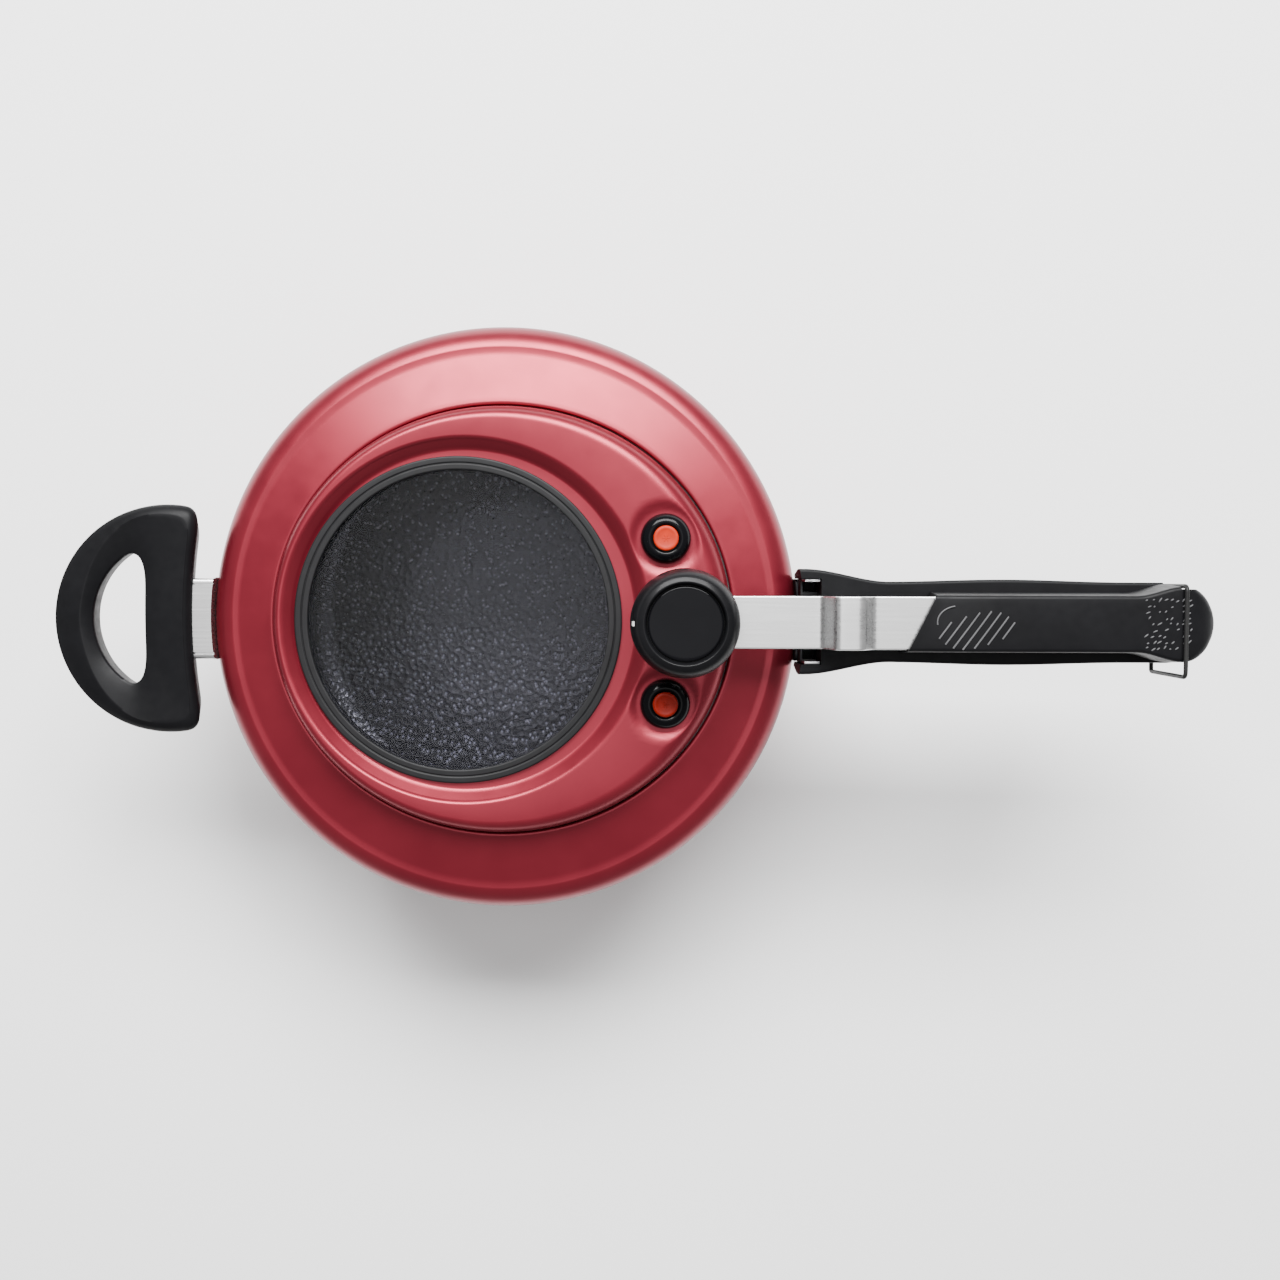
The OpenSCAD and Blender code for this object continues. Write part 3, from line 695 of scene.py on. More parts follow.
def build_studs():
    """Threaded studs welded to the pot's wall, under both brackets."""
    pitch = 0.7
    outline = [(0, 0), (STUD_R, 0)]
    for turn in range(9):
        z = 0.4 + pitch * turn
        outline += [(STUD_R, z), (STUD_R - 0.35, z + pitch / 2)]
    outline += [(STUD_R, 6.9), (STUD_R - 0.4, 7.6), (0, 7.7)]
    for side, mark in ((-1, "helper"), (1, "handle")):
        for y, letter in either_side(STUD_Y):
            mesh = lathe("stud", outline, count=40, loop=False)
            turned = Matrix.Rotation(side * np.pi / 2, 4, "Y")
            start = Vector((side * (POT_R - 1.7), y, STUD_Z)) * MM
            mesh.transform(Matrix.Translation(start) @ turned)
            add_piece(f"{mark}_stud_{letter}", mesh, "pot", "bright_steel")


# ---------------------------------------------------------------- lid


def valve_places():
    """X and Y of the pressure indicator, then of the safety valve."""
    for node in ("indicator_pin", "safety_plug"):
        x, y, _ = centre(node)
        yield x, y


def sunk_at_valves(ring):
    """Presses a shallow dish into the lid round each valve."""
    ring = ring.copy()
    for x, y in valve_places():
        away = np.hypot(ring[:, 0] - x, ring[:, 1] - y)
        dish = LID_TOP - DISH_DEPTH * (1 - smooth((away - 10.6) / 5.6))
        ring[:, 2] = np.minimum(ring[:, 2], dish)
    return ring


def lid_crest_rings(inner_z, steps=64):
    """From the top of the recess wall, over the crest, down to the lid's side."""
    inner = circle(RECESS_TOP_R + 0.2, inner_z, RECESS_X)
    outer = mouth_ring(-MOUTH_GAP, inner_z)
    width = np.linalg.norm((outer - inner)[:, :2], axis=1)
    side_drop = 9.5
    side_round = side_drop * (1 - np.exp(-width / 9))
    crown = 0.35 * smooth((width - 6) / 14)
    rings = []
    for s in np.linspace(0, 1, steps) ** 0.92:
        ring = inner * (1 - s) + outer * s
        from_inner = width * s
        from_outer = width * (1 - s)
        fall = np.clip(1 - from_outer / side_round, 0, 1)
        lip = np.clip(1 - from_inner / 2.6, 0, 1)
        off_crest = np.clip(np.abs(from_inner / width - 0.45) * 2, 0, 1)
        height = LID_TOP - side_drop * (1 - np.sqrt(np.clip(1 - fall**2.4, 0, 1)))
        ring[:, 2] = height - 1.1 * lip**2 - crown * off_crest**2
        rings.append(sunk_at_valves(ring))
    return rings


def lid_seat_rings():
    """From the edge of the window's hole, over the flat seat, to the foot of the recess wall."""
    return [
        circle(WINDOW_HOLE_R, SEAT_LOW_Z, WINDOW_X),
        circle(WINDOW_HOLE_R, SEAT_Z, WINDOW_X),
        circle(WINDOW_HOLE_R + 2, SEAT_Z, WINDOW_X),
        circle(RECESS_LOW_R - 1.1, SEAT_Z, RECESS_X),
        circle(RECESS_LOW_R - 0.2, SEAT_Z + 0.25, RECESS_X),
        circle(RECESS_LOW_R + 0.7, SEAT_Z + 1.1, RECESS_X),
    ]


def lid_under_rings():
    """Round the flange, then across the unpainted underside, back to the window's hole."""
    flange_top = FLANGE_Z + FLANGE_T
    wall = -MOUTH_GAP - LID_T
    rings = [
        mouth_ring(0, flange_top),
        mouth_ring(FLANGE_OUT - 0.4, flange_top),
        mouth_ring(FLANGE_OUT, FLANGE_Z + FLANGE_T / 2),
        mouth_ring(FLANGE_OUT - 0.4, FLANGE_Z),
        mouth_ring(wall, FLANGE_Z),
        mouth_ring(wall, 115),
        mouth_ring(-5.5, 120.5),
    ]
    under_out = mouth_ring(-7.5, LID_TOP - 4)
    under_in = circle(RECESS_TOP_R + 2.2, 122, RECESS_X)
    kept_in = 8.5  # the inner ring stays this far inside the mouth
    reach = np.hypot(under_in[:, 0] / (MOUTH_A - kept_in), under_in[:, 1] / (MOUTH_B - kept_in))
    under_in[:, :2] /= np.clip(reach, 1, None)[:, None]
    rings += [under_out * 0.6 + under_in * 0.4, under_in]
    return rings + [circle(RECESS_LOW_R + 1.0, SEAT_LOW_Z + 0.2, RECESS_X)]


def build_lid():
    """The lid in one mesh, painted above and machined below, with its three holes."""
    top = lid_seat_rings() + lid_crest_rings(SEAT_Z + 3)
    top.append(mouth_ring(-MOUTH_GAP, FLANGE_Z + FLANGE_T + 0.3))
    under = lid_under_rings()
    painted, machined = 0, 1
    finish = [painted] * len(top) + [machined] * len(under)
    mesh = skin("lid", top + under, loop=True, gap_materials=finish)
    holes = [upright(VALVE_NECK_R + 0.1, x, y) for x, y in valve_places()]
    holes.append(upright(POST_R + 0.05, POST_X, 0))
    mesh = combined(mesh, holes)
    add_piece("lid", mesh, "lid", "lid_enamel", ["lid_shell"], 60, looks=["lid_enamel", "machined"])


def build_lid_gasket():
    """The rubber between the lid's flange and the pot's ledge. It follows the oval mouth."""
    low = FLANGE_Z + FLANGE_T + 0.02
    high = LEDGE_Z - 0.05
    inner = -MOUTH_GAP + 0.1
    outline = rounded(
        [(inner, low), (5, low), (5, (low + high) / 2), (4.2, high), (inner, high)],
        [0.3, 0.5, 0.8, 0.8, 0.3],
    )
    mesh = skin("gasket", [mouth_ring(grow, z) for grow, z in outline], loop=True)
    add_piece("lid_seal", mesh, "lid", "seal_rubber", ["lid_gasket"])


def window_ring_outline():
    """The rubber ring: a grooved face above the lid, a slot for the glass, a foot below the lid."""
    top = RING_HIGH[2]
    outer = RING_HIGH[1]
    groove_r = 62.6
    corners_and_radii = [
        ((outer, SEAT_Z), 0.15),
        ((outer, top), 0.8),
        ((groove_r + 0.4, top), 0.3),
        ((groove_r, top - 0.45), 0.2),
        ((groove_r - 0.4, top), 0.3),
        ((RING_VIEW_R, top), 0.9),
        ((RING_VIEW_R, GLASS_HIGH[2]), 0.2),
        ((GLASS_R, GLASS_HIGH[2]), 0),
        ((GLASS_R, GLASS_LOW[2]), 0),
        ((RING_VIEW_R, GLASS_LOW[2]), 0.2),
        ((RING_VIEW_R, RING_LOW[2]), 0.6),
        ((outer, RING_LOW[2]), 0.6),
        ((outer, SEAT_LOW_Z), 0.15),
        ((WINDOW_HOLE_R, SEAT_LOW_Z), 0),
        ((WINDOW_HOLE_R, SEAT_Z), 0),
    ]
    corners, radii = zip(*corners_and_radii)
    return rounded(corners, radii)


def build_window():
    """The rubber ring, the pane with its chamfered edge, and the steel ring that clamps both."""
    mesh = lathe("window_ring", window_ring_outline(), WINDOW_X, count=ROUND)
    add_piece("window_ring", mesh, "lid", "window_rubber", ["window_gasket"])
    edge = 0.4
    pane = [
        (GLASS_R - edge, GLASS_LOW[2]),
        (GLASS_R, GLASS_LOW[2] + edge),
        (GLASS_R, GLASS_HIGH[2] - edge),
        (GLASS_R - edge, GLASS_HIGH[2]),
    ]
    mesh = lathe("window_pane", pane, WINDOW_X, count=ROUND, loop=False)
    add_piece("window_pane", mesh, "lid", "window_glass", ["window_glass"])
    low, high = box("window_clamp_ring")
    inner = RING_VIEW_R + 0.6
    corners = [(inner, low[2]), (high[1], low[2]), (high[1], high[2]), (inner, high[2])]
    mesh = lathe("window_clamp", rounded(corners, 0.4, 3), WINDOW_X, count=ROUND)
    add_piece("window_clamp", mesh, "lid", "steel", ["window_clamp_ring"])


# ---------------------------------------------------------------- valves


def surround_outline(low, top, radius):
    """A valve's surround: a neck through the lid and a domed collar round the button."""
    bore = 5.3
    neck_bore = 3.1
    floor = 126.7
    seat = LID_TOP - DISH_DEPTH
    start = seat + 1.6
    across = radius - bore - 0.9
    outline = [(neck_bore, low), (VALVE_NECK_R, low), (VALVE_NECK_R, seat), (radius - 0.5, seat)]
    outline += [(radius - 0.1, seat + 0.6)]
    for a in np.radians(np.linspace(0, 88, 16)):
        outline.append((bore + 0.9 + across * np.cos(a), start + (top - start) * np.sin(a)))
    outline += [(bore + 0.3, top - 0.25), (bore, top - 0.7), (bore, floor), (neck_bore, floor)]
    return outline


def button_outline(low, top):
    """A valve's button: a thin stem and a wide head with a rounded rim and a shallow dish."""
    stem_r, head_r, rim = 3, 5, 0.8
    outline = [(0, low), (stem_r, low), (stem_r, 127), (head_r, 127), (head_r, top - rim)]
    outline += arc(head_r - rim, top - rim, rim, 30, 90, 2)
    return outline + [(3.5, top - 0.1), (2.9, top - 0.35), (0, top - 0.45)]


def build_valve(name, pin_node, body, colour):
    """Surround, button with a moulded star on it, and the collar that stops it, of one valve."""
    x, y, _ = centre(pin_node)
    low, high = box(f"{name}_surround")
    outline = surround_outline(low[2], high[2], (high[0] - low[0]) / 2)
    mesh = lathe("surround", outline, x, y, 96)
    replaced = [f"{name}_surround"]
    add_piece(f"{name}_surround", mesh, "lid", "knob_plastic", replaced, looks=["valve_gloss"])

    low, high = box(pin_node)
    mesh = lathe("button", button_outline(low[2], high[2]), x, y, 72, loop=False)
    add_piece(f"{name}_button", mesh, body, colour, [pin_node])
    for n in range(3):
        turned = n * np.pi / 3
        along = np.array([np.cos(turned), np.sin(turned), 0]) * 1.5
        middle = np.array([x, y, high[2] - 0.42])
        path = [middle + s * along for s in (-1, -0.5, 0, 0.5, 1)]
        mesh = tube("mark", path, 0.16, sides=8)
        add_piece(f"{name}_star_{n}", mesh, body, colour)

    low, high = box(f"{name}_collar")
    bore = 3.02
    corners = [(bore, low[2]), (4.8, low[2]), (4.8, high[2]), (bore, high[2])]
    mesh = lathe("collar", rounded(corners, 0.35, 3), x, y, 64)
    replaced = [f"{name}_collar"]
    add_piece(f"{name}_collar", mesh, body, "bright_steel", replaced)


def build_safety_spring():
    """The safety valve's coil spring, built at one length; in use it shortens as the valve lifts."""
    low, high = box("safety_spring")
    x, y, _ = centre("safety_plug")
    turns = 5
    wire_r = 0.5
    coil_r = 4.1
    path = []
    for s in np.linspace(0, 1, 36 * turns):
        angle = 2 * np.pi * turns * s
        z = low[2] + wire_r + (high[2] - low[2] - 2 * wire_r) * s
        path.append((x + coil_r * np.cos(angle), y + coil_r * np.sin(angle), z))
    mesh = tube("spring", path, wire_r, sides=12)
    replaced = ["safety_spring"]
    piece = add_piece("safety_coil", mesh, "lid", "bright_steel", replaced)
    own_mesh(piece)


# ---------------------------------------------------------------- nuts, screws and rivets


def hex_nut(radius, bore, thickness, count=96):
    """A nut with chamfered corners, standing on z = 0."""
    t = turn_angles(count)
    flat = radius * np.cos(np.pi / 6)
    side = flat / np.cos((t + np.pi / 6) % (np.pi / 3) - np.pi / 6)
    rings = []
    for z in (0, 0.2, 0.5, 0.9, thickness - 0.9, thickness - 0.5, thickness - 0.2, thickness):
        from_end = min(z, thickness - z)
        reach = np.minimum(side, flat * 0.97 + from_end * 1.7)
        rings.append(np.stack([reach * np.cos(t), reach * np.sin(t), np.full(count, float(z))], 1))
    rings.append(circle(bore + 0.4, thickness, count=count))
    rings.append(circle(bore, thickness - 0.4, count=count))
    rings.append(circle(bore, 0.4, count=count))
    rings.append(circle(bore + 0.4, 0, count=count))
    return skin("nut", rings, loop=True)


def add_hardware(name, mesh, body, node, sharp=30):
    """A nut, screw or rivet of turned steel."""
    add_piece(name, mesh, body, "bright_steel", [node], sharp)


def moved(mesh, x, y, z, turn=0.0, axis="X"):
    """The mesh turned about an axis through the origin, then moved by millimetres."""
    place = Matrix.Translation(Vector((x, y, z)) * MM)
    mesh.transform(place @ Matrix.Rotation(turn, 4, axis))
    return mesh


def build_nuts():
    """Nuts on the post and the valves, and the bracket nuts on the pot's studs."""
    for node, bore, name in (
        ("vent_post_nut", POST_R, "vent_nut"),
        ("vent_collar_nut", POST_R, "collar_nut"),
        ("indicator_nut", VALVE_NECK_R, "indicator_locknut"),
        ("safety_nut", VALVE_NECK_R, "safety_locknut"),
    ):
        low, high = box(node)
        x, y, _ = centre(node)
        mesh = hex_nut((high[0] - low[0]) / 2, bore, high[2] - low[2])
        add_hardware(name, moved(mesh, x, y, low[2]), "lid", node)
    for node, side, name in (
        ("body_bracket_nuts", 1, "handle_nut"),
        ("helper_bracket_nuts", -1, "helper_nut"),
    ):
        low, high = box(node)
        start = low[0] if side > 0 else high[0]
        for y, letter in either_side(STUD_Y):
            mesh = hex_nut(4.6, STUD_R + 0.02, high[0] - low[0])
            mesh = moved(mesh, start, y, centre(node)[2], side * np.pi / 2, "Y")
            add_hardware(f"{name}_{letter}", mesh, "pot", node)


def screw(head_r, head_h, shank_r, length):
    """A pan-head screw with a crossed slot. Its head's top is at z = 0 and it points along +Z."""
    pitch = 0.8
    outline = [(0, 0), (head_r * 0.7, 0.05), (head_r * 0.92, 0.35), (head_r, 0.9)]
    outline += [(head_r, head_h), (shank_r, head_h)]
    for n in range(int((length - head_h) / pitch)):
        z = head_h + pitch * n
        outline += [(shank_r, z + 0.2), (shank_r * 0.86, z + 0.6)]
    outline += [(shank_r * 0.6, length), (0, length)]
    mesh = lathe("screw", outline, count=48, loop=False)
    arm = head_r * 0.55
    half_slot = 0.35
    deep = 0.8
    slots = [
        block((-arm, -half_slot, -1), (arm, half_slot, deep)),
        block((-half_slot, -arm, -1), (half_slot, arm, deep)),
    ]
    return combined(mesh, slots)


def screw_spread(node):
    """How far a handle's two screws stand from the centre line, to the nearest 0.1 mm."""
    return round(box(node)[1][1] - SCREW_HEAD_R, 1)


def build_screws():
    """Two screws under each fixed handle, and six under the clamp ring of the window."""
    for node, name in (("body_handle_screws", "handle_screw"), ("helper_screws", "helper_screw")):
        low, high = box(node)
        x, _, _ = centre(node)
        for y, letter in either_side(screw_spread(node)):
            mesh = screw(SCREW_HEAD_R, 1.8, 2, high[2] - low[2])
            add_hardware(f"{name}_{letter}", moved(mesh, x, y, low[2]), "pot", node)
    node = "window_clamp_screws"
    low, high = box(node)
    for n in range(6):
        angle = np.radians(60 * n + 30)
        x = WINDOW_X + CLAMP_SCREW_RING_R * np.cos(angle)
        y = CLAMP_SCREW_RING_R * np.sin(angle)
        mesh = screw(2.8, 1.4, 1.5, high[2] - low[2])
        add_hardware(f"clamp_screw_{n}", moved(mesh, x, y, low[2]), "lid", node)


def rivet(x, low, high, head_high=True):
    """A rivet whose shank runs from low to high, headed below, and above unless it is flush."""
    head = [(0.6, 1.1), (0.9, 0.7), (1, 0)]
    outline = [(0, low - 1.2)]
    outline += [(RIVET_HEAD_R * share, low - rise) for share, rise in head]
    outline += [(RIVET_R, low), (RIVET_R, high)]
    if head_high:
        outline += [(RIVET_HEAD_R * share, high + rise) for share, rise in reversed(head)]
    outline += [(0, high + 1.2 if head_high else high)]
    return lathe("rivet", outline, x, count=48, loop=False)


def strap_rivet_xs():
    """X of the two rivets that hold the lid handle to the strap."""
    low, high = box("strap_rivets")
    return low[0] + RIVET_HEAD_R, high[0] - RIVET_HEAD_R


def build_rivets():
    """Two rivets through the strap and the lid handle, and one through the hook's foot."""
    low, high = box("strap_rivets")
    for n, x in enumerate(strap_rivet_xs()):
        mesh = rivet(x, low[2] + 1.6, high[2], head_high=False)
        add_hardware(f"strap_rivet_{n}", mesh, "lever", "strap_rivets", 40)
    low, high = box("fulcrum_rivets")
    mesh = rivet(centre("fulcrum_rivets")[0], low[2] + 1.4, high[2] - 1.4)
    add_hardware("hook_rivet", mesh, "pot", "fulcrum_rivets", 40)


# ---------------------------------------------------------------- vent post and regulator


def vent_outline():
    """The hollow post: a foot on the lid, a threaded middle and a tapered end."""
    foot = LID_TOP
    top = POST_HIGH[2]
    bore = 1.5
    pitch = 0.8
    outline = [(bore, POST_LOW[2]), (POST_R, POST_LOW[2]), (POST_R, foot - 0.02)]
    outline += [(7.2, foot - 0.02), (8, foot + 0.6), (8, foot + 3.2), (7.4, foot + 4)]
    outline += [(POST_R + 0.5, foot + 4), (POST_R, foot + 4.6)]
    for z in np.arange(foot + 5.2, top - 4, pitch):
        outline += [(POST_R, z), (POST_R - 0.25, z + pitch / 2)]
    return outline + [(POST_R, top - 2), (2.4, top), (bore + 0.2, top), (bore, top - 0.3)]


def build_vent():
    """The vent post, and the slotted strainer cap under the lid."""
    mesh = lathe("post", vent_outline(), POST_X, count=72)
    add_piece("vent_pipe", mesh, "lid", "steel", ["vent_post"], 40, looks=["bright_steel"])
    low, high = box("vent_filter")
    radius = high[1]
    wall = 1
    corners = [(0, low[2]), (radius, low[2]), (radius, high[2])]
    corners += [(radius - wall, high[2]), (radius - wall, low[2] + wall), (0, low[2] + wall)]
    outline = rounded(corners, [0, 1.2, 0.3, 0.3, 0.5, 0], 4, closed=False)
    mesh = lathe("strainer", outline, POST_X, count=96, loop=False)
    slots = []
    for n in range(12):
        slot = block((radius - 3, -0.6, low[2] + 2.6), (radius + 1, 0.6, low[2] + 7))
        slots.append(moved(slot, POST_X, 0, 0, n * np.pi / 6, "Z"))
    add_piece("strainer", combined(mesh, slots), "lid", "steel", ["vent_filter"], 40)


def knob_shoulder(angle):
    """Radius and height of a point on the knob's rounded shoulder."""
    across = 4.6
    up = KNOB_HIGH[2] - KNOB_LOW[2] - 8
    radius = KNOB_R - across + across * np.cos(angle)
    return radius, KNOB_LOW[2] + 7.6 + up * np.sin(angle)


def knob_outline():
    """The knob's skirt, its broad shoulder, the raised rim and the pocket for the cap."""
    low, top = KNOB_LOW[2], KNOB_HIGH[2]
    pocket = CAP_LOW[2] - 0.05
    bore = WEIGHT_HIGH[1] + 0.08
    inside = WEIGHT_HIGH[2] + 0.3
    screw_seat = 154.4
    outline = [(bore, low + 0.4), (bore + 0.5, low), (KNOB_R - 3.0, low), (KNOB_R - 2.2, low + 0.5)]
    outline += [(KNOB_R - 0.4, low + 4.6), (KNOB_R, low + 5.8), (KNOB_R, low + 7.6)]
    outline += [knob_shoulder(a) for a in np.radians(np.linspace(6, 84, 14))]
    outline += [(16.0, top - 0.05), (15.6, top - 0.1), (15.15, top - 0.5), (14.95, top - 1.2)]
    outline += [(14.9, top - 1.9), (14.6, top - 2.1), (14.55, pocket), (4.35, pocket)]
    return outline + [(4.35, screw_seat), (2.1, screw_seat), (2.1, inside), (bore, inside)]


def cap_outline():
    """The glossy disc in the knob: a rolled edge and a slightly raised middle."""
    low, top = CAP_LOW[2], CAP_HIGH[2]
    radius = CAP_HIGH[1]
    crown = 0.22
    outline = [(0, low), (radius - 0.3, low), (radius - 0.1, low + 0.3)]
    outline += [(radius - 0.1, top - 0.7), (radius - 0.35, top - 0.35), (radius - 1, top - crown)]
    return outline + [(r, top - crown * (r / radius) ** 2) for r in (12, 10, 7.5, 5, 2.5, 0)]


def tick_rings():
    """A short mark, laid on the knob's shoulder on the side away from the handle."""
    spread = np.radians(np.linspace(-2.6, 2.6, 5))
    rings = []
    for angle in np.radians(np.linspace(36, 50, 5)):
        r, z = knob_shoulder(angle)
        outer = [(POST_X - (r + 0.12) * np.cos(a), (r + 0.12) * np.sin(a), z) for a in spread]
        inner = [(POST_X - (r - 0.3) * np.cos(a), (r - 0.3) * np.sin(a), z) for a in spread]
        rings.append(outer + inner[::-1])
    return rings


def build_knob():
    """The knob's shell, its glossy cap and its tick."""
    mesh = lathe("knob", knob_outline(), POST_X, count=160)
    add_piece("knob_ring", mesh, "knob", "knob_plastic", ["knob_shell"], 60)
    mesh = lathe("cap", cap_outline(), POST_X, count=160, loop=False)
    add_piece("knob_disc", mesh, "knob", "knob_gloss", ["knob_cap"])
    mesh = skin("tick", tick_rings())
    add_piece("knob_tick", mesh, "knob", "mark_white", ["knob_mark"])


def build_weight():
    """The weight that sits on the post, bored from below, and the screw that holds the knob."""
    low, high = WEIGHT_LOW[2], WEIGHT_HIGH[2]
    radius = WEIGHT_HIGH[1]
    bore = POST_R + 0.08
    deep = POST_HIGH[2] + 0.3
    corners = [(0, deep), (bore, deep), (bore, low), (radius, low), (radius, high), (0, high)]
    outline = rounded(corners, [0, 0.1, 0.6, 0.8, 0.8, 0], 4, closed=False)
    mesh = lathe("weight", outline, POST_X, count=96, loop=False)
    add_piece("weight", mesh, "regulator", "steel", ["regulator_weight"], looks=["bright_steel"])
    low, high = box("regulator_screw")
    mesh = moved(screw(4, 1.5, 2, high[2] - low[2]), POST_X, 0, high[2], np.pi)
    add_hardware("weight_screw", mesh, "regulator", "regulator_screw")


# ---------------------------------------------------------------- lever and its hook


def build_strap():
    """The steel strap: from the post, over a hump that sits on the roll, up into the grip."""
    low = STRAP_LOW[2] + STRAP_T / 2
    crest = STRAP_HIGH[2] - STRAP_T / 2
    high = low + STRAP_RISE
    hump = [(127.2, low), (131, crest), (140.6, crest), (144.6, high)]
    corners = [(STRAP_LOW[0], low), *hump, (STRAP_HIGH[0], high)]
    path = bent(corners, [0, 2.6, 2.2, 2.0, 2.2, 0], 1.2)
    half = STRAP_W / 2

    def half_width(x):
        """Full width, but for a round end about the post."""
        return half if x >= POST_X else np.sqrt(max(half**2 - (POST_X - x) ** 2, 0.02))

    mesh = strip("strap", path, STRAP_T, half_width, 0.55)
    mesh = combined(mesh, [upright(6.4, POST_X, 0)])
    add_piece("strap", mesh, "lever", "strap_steel", ["lever_strap"], 40)


def build_hook():
    """The steel hook that the lever rocks on: a foot, an upright and a rolled top."""
    foot_z = HOOK_LOW[2] + 1
    reel = ROLL_R - 1
    path = [(HOOK_LOW[0], foot_z), (ROLL_X - 1.5, foot_z)]
    path += [(ROLL_X - 0.4, foot_z + 0.6), (ROLL_X, foot_z + 2)]
    path += [(ROLL_X, z) for z in np.linspace(foot_z + 4, ROLL_Z - 5.4, 10)]
    path += [(ROLL_X + 0.5, ROLL_Z - 4.2)]
    path += arc(ROLL_X, ROLL_Z, reel, -65, 240, 31)
    half = HOOK_HIGH[1]
    mesh = strip("hook", bent(path, [0.6] * len(path), 1.5), 1.9, lambda x: half, 0.4)
    add_piece("hook", mesh, "pot", "steel", ["fulcrum_hook"], 40)


# ---------------------------------------------------------------- lid handle


def spread_top(points, count=9):
    """Adds points along the long top edge, so that it can be crowned."""
    top = max(z for _, z in points) - 1e-6
    following = points[1:] + points[:1]
    where = [a[1] > top and b[1] > top for a, b in zip(points, following)].index(True)
    first = np.array(points[where])
    last = np.array(following[where])
    extra = [tuple(first + (last - first) * s) for s in np.linspace(0, 1, count + 2)[1:-1]]
    return points[: where + 1] + extra + points[where + 1 :]


def bail_flat():
    """Cutter for the flat that lets the near leg of the bail swing past both handles."""
    near_leg = BAIL_HIGH[1] - 2
    return block((BAIL_X - 1.35, near_leg - 0.25, 90), (300, 30, 170))


def lid_grip_station(x):
    """Half widths at the top and the bottom of the lid handle at X, and its top height."""
    round_r = GRIP_END_R - 0.4
    straight = 12.0
    past = max(x - BAIL_X, 0)
    if past > 0:
        low = round_r * np.sqrt(max(1 - (past / (LID_GRIP_END - BAIL_X)) ** 2, 0))
    else:
        low = straight + (round_r - straight) * smooth((x - 246) / (BAIL_X - 246))
    top_z = LID_GRIP_HIGH[2] - 0.08 * past - past**2 / 48
    top_z -= 3.2 * (1 - low / round_r) ** 2 if past > 0 else 0
    top_z -= 2.0 * (1 - smooth((x - LID_GRIP_FRONT) / 34))
    high = max(low - 1.1, low * 0.7)
    return high, low, top_z


def lid_grip_ring(x):
    """The handle's cross-section at X. The front ones lean, so that the front end is slanted."""
    low_z = LID_GRIP_LOW[2]
    high, low, top_z = lid_grip_station(x)
    edge = min(1.5 + 2.0 * smooth((x - BAIL_X) / 8), 0.45 * high)
    corners = [(-low, low_z), (low, low_z), (high, top_z), (-high, top_z)]
    lean = 12.0 * max(0, 1 - (x - LID_GRIP_FRONT) / 40)
    ring = []
    for y, z in spread_top(rounded(corners, [0.8, 0.8, edge, edge], 5)):
        if z > top_z - 1e-6:
            fall = (y / high) ** 2
        else:
            fall = np.clip((z - low_z) / (top_z - low_z), 0, 1)
        ring.append((x + lean * (y / 24 + 0.5), y, z - GRIP_CROWN * fall))
    return ring


def build_lid_grip():
    """The lid handle, with the slot for the strap, the rivet holes and the flat for the bail."""
    run = list(np.linspace(LID_GRIP_FRONT, BAIL_X, 60))
    run += [x for x, _ in arc(BAIL_X, 0, LID_GRIP_END - BAIL_X, 86, 1, 25)]
    mesh = skin("lid_grip", [lid_grip_ring(x) for x in run])
    slot_low = STRAP_LOW[2] + STRAP_RISE - 0.05
    slot_high = slot_low + STRAP_T + 0.1
    half = STRAP_W / 2 + 0.05
    cutters = [block((150, -half, slot_low), (STRAP_HIGH[0] + 1.2, half, slot_high)), bail_flat()]
    for x in strap_rivet_xs():
        cutters.append(upright(RIVET_HEAD_R + 0.4, x, 0, high_z=132.2))
        cutters.append(upright(RIVET_R + 0.05, x, 0, 130, 142))
    mesh = combined(mesh, cutters)
    add_piece("lid_grip", mesh, "lever", "handle_plastic", ["lid_handle"], 50)


def rib_path(x, middle_y, reach):
    """A slanted line on the crowned top of the lid handle, a little proud in its middle."""
    slant = 0.72
    path = []
    for s in np.linspace(-1, 1, 9):
        y = middle_y + reach * s
        _, _, top_z = lid_grip_station(x + 0.7 * reach * s)
        fall = 0.08 + GRIP_CROWN * (y / 11) ** 2
        path.append((x + slant * reach * s, y, top_z - fall + 0.08 * (1 - s * s)))
    return path


def build_grip_ribs():
    """Slanted ribs in a lens-shaped patch, and a short curved rib ahead of them."""
    for n in range(7):
        reach = 7.4 * np.sin(np.pi * (n + 1.2) / 8.4)
        mesh = tube("rib", rib_path(172.5 + 4.0 * n, -2.6, reach), 0.34, sides=10)
        # The ribs take the lighter black: painted highlight.
        add_piece(f"grip_rib_{n}", mesh, "lever", "handle_plastic", looks=["highlight_plastic"])
    path = []
    for a in np.radians(np.linspace(100, 190, 12)):
        x = 177.5 + 8 * np.cos(a)
        _, _, top_z = lid_grip_station(x)
        path.append((x, 0.6 + 6.2 * np.sin(a), top_z - 0.30))
    mesh = tube("rib", path, 0.28, sides=10)
    # The curved rib also takes the lighter black, a painted highlight.
    add_piece("grip_arc", mesh, "lever", "handle_plastic", looks=["highlight_plastic"])


def pebble_rings(x, y, z, long_r, short_r, turned, count=10):
    """Three rings of points that shrink upward, for one long pip turned about Z."""
    points = []
    for level, shrink in ((0.0, 1.0), (0.30, 0.80), (0.46, 0.35)):
        for a in turn_angles(count):
            u = long_r * shrink * np.cos(a)
            v = short_r * shrink * np.sin(a)
            across = x + u * np.cos(turned) - v * np.sin(turned)
            along = y + u * np.sin(turned) + v * np.cos(turned)
            points.append((across, along, z + level))
    return points


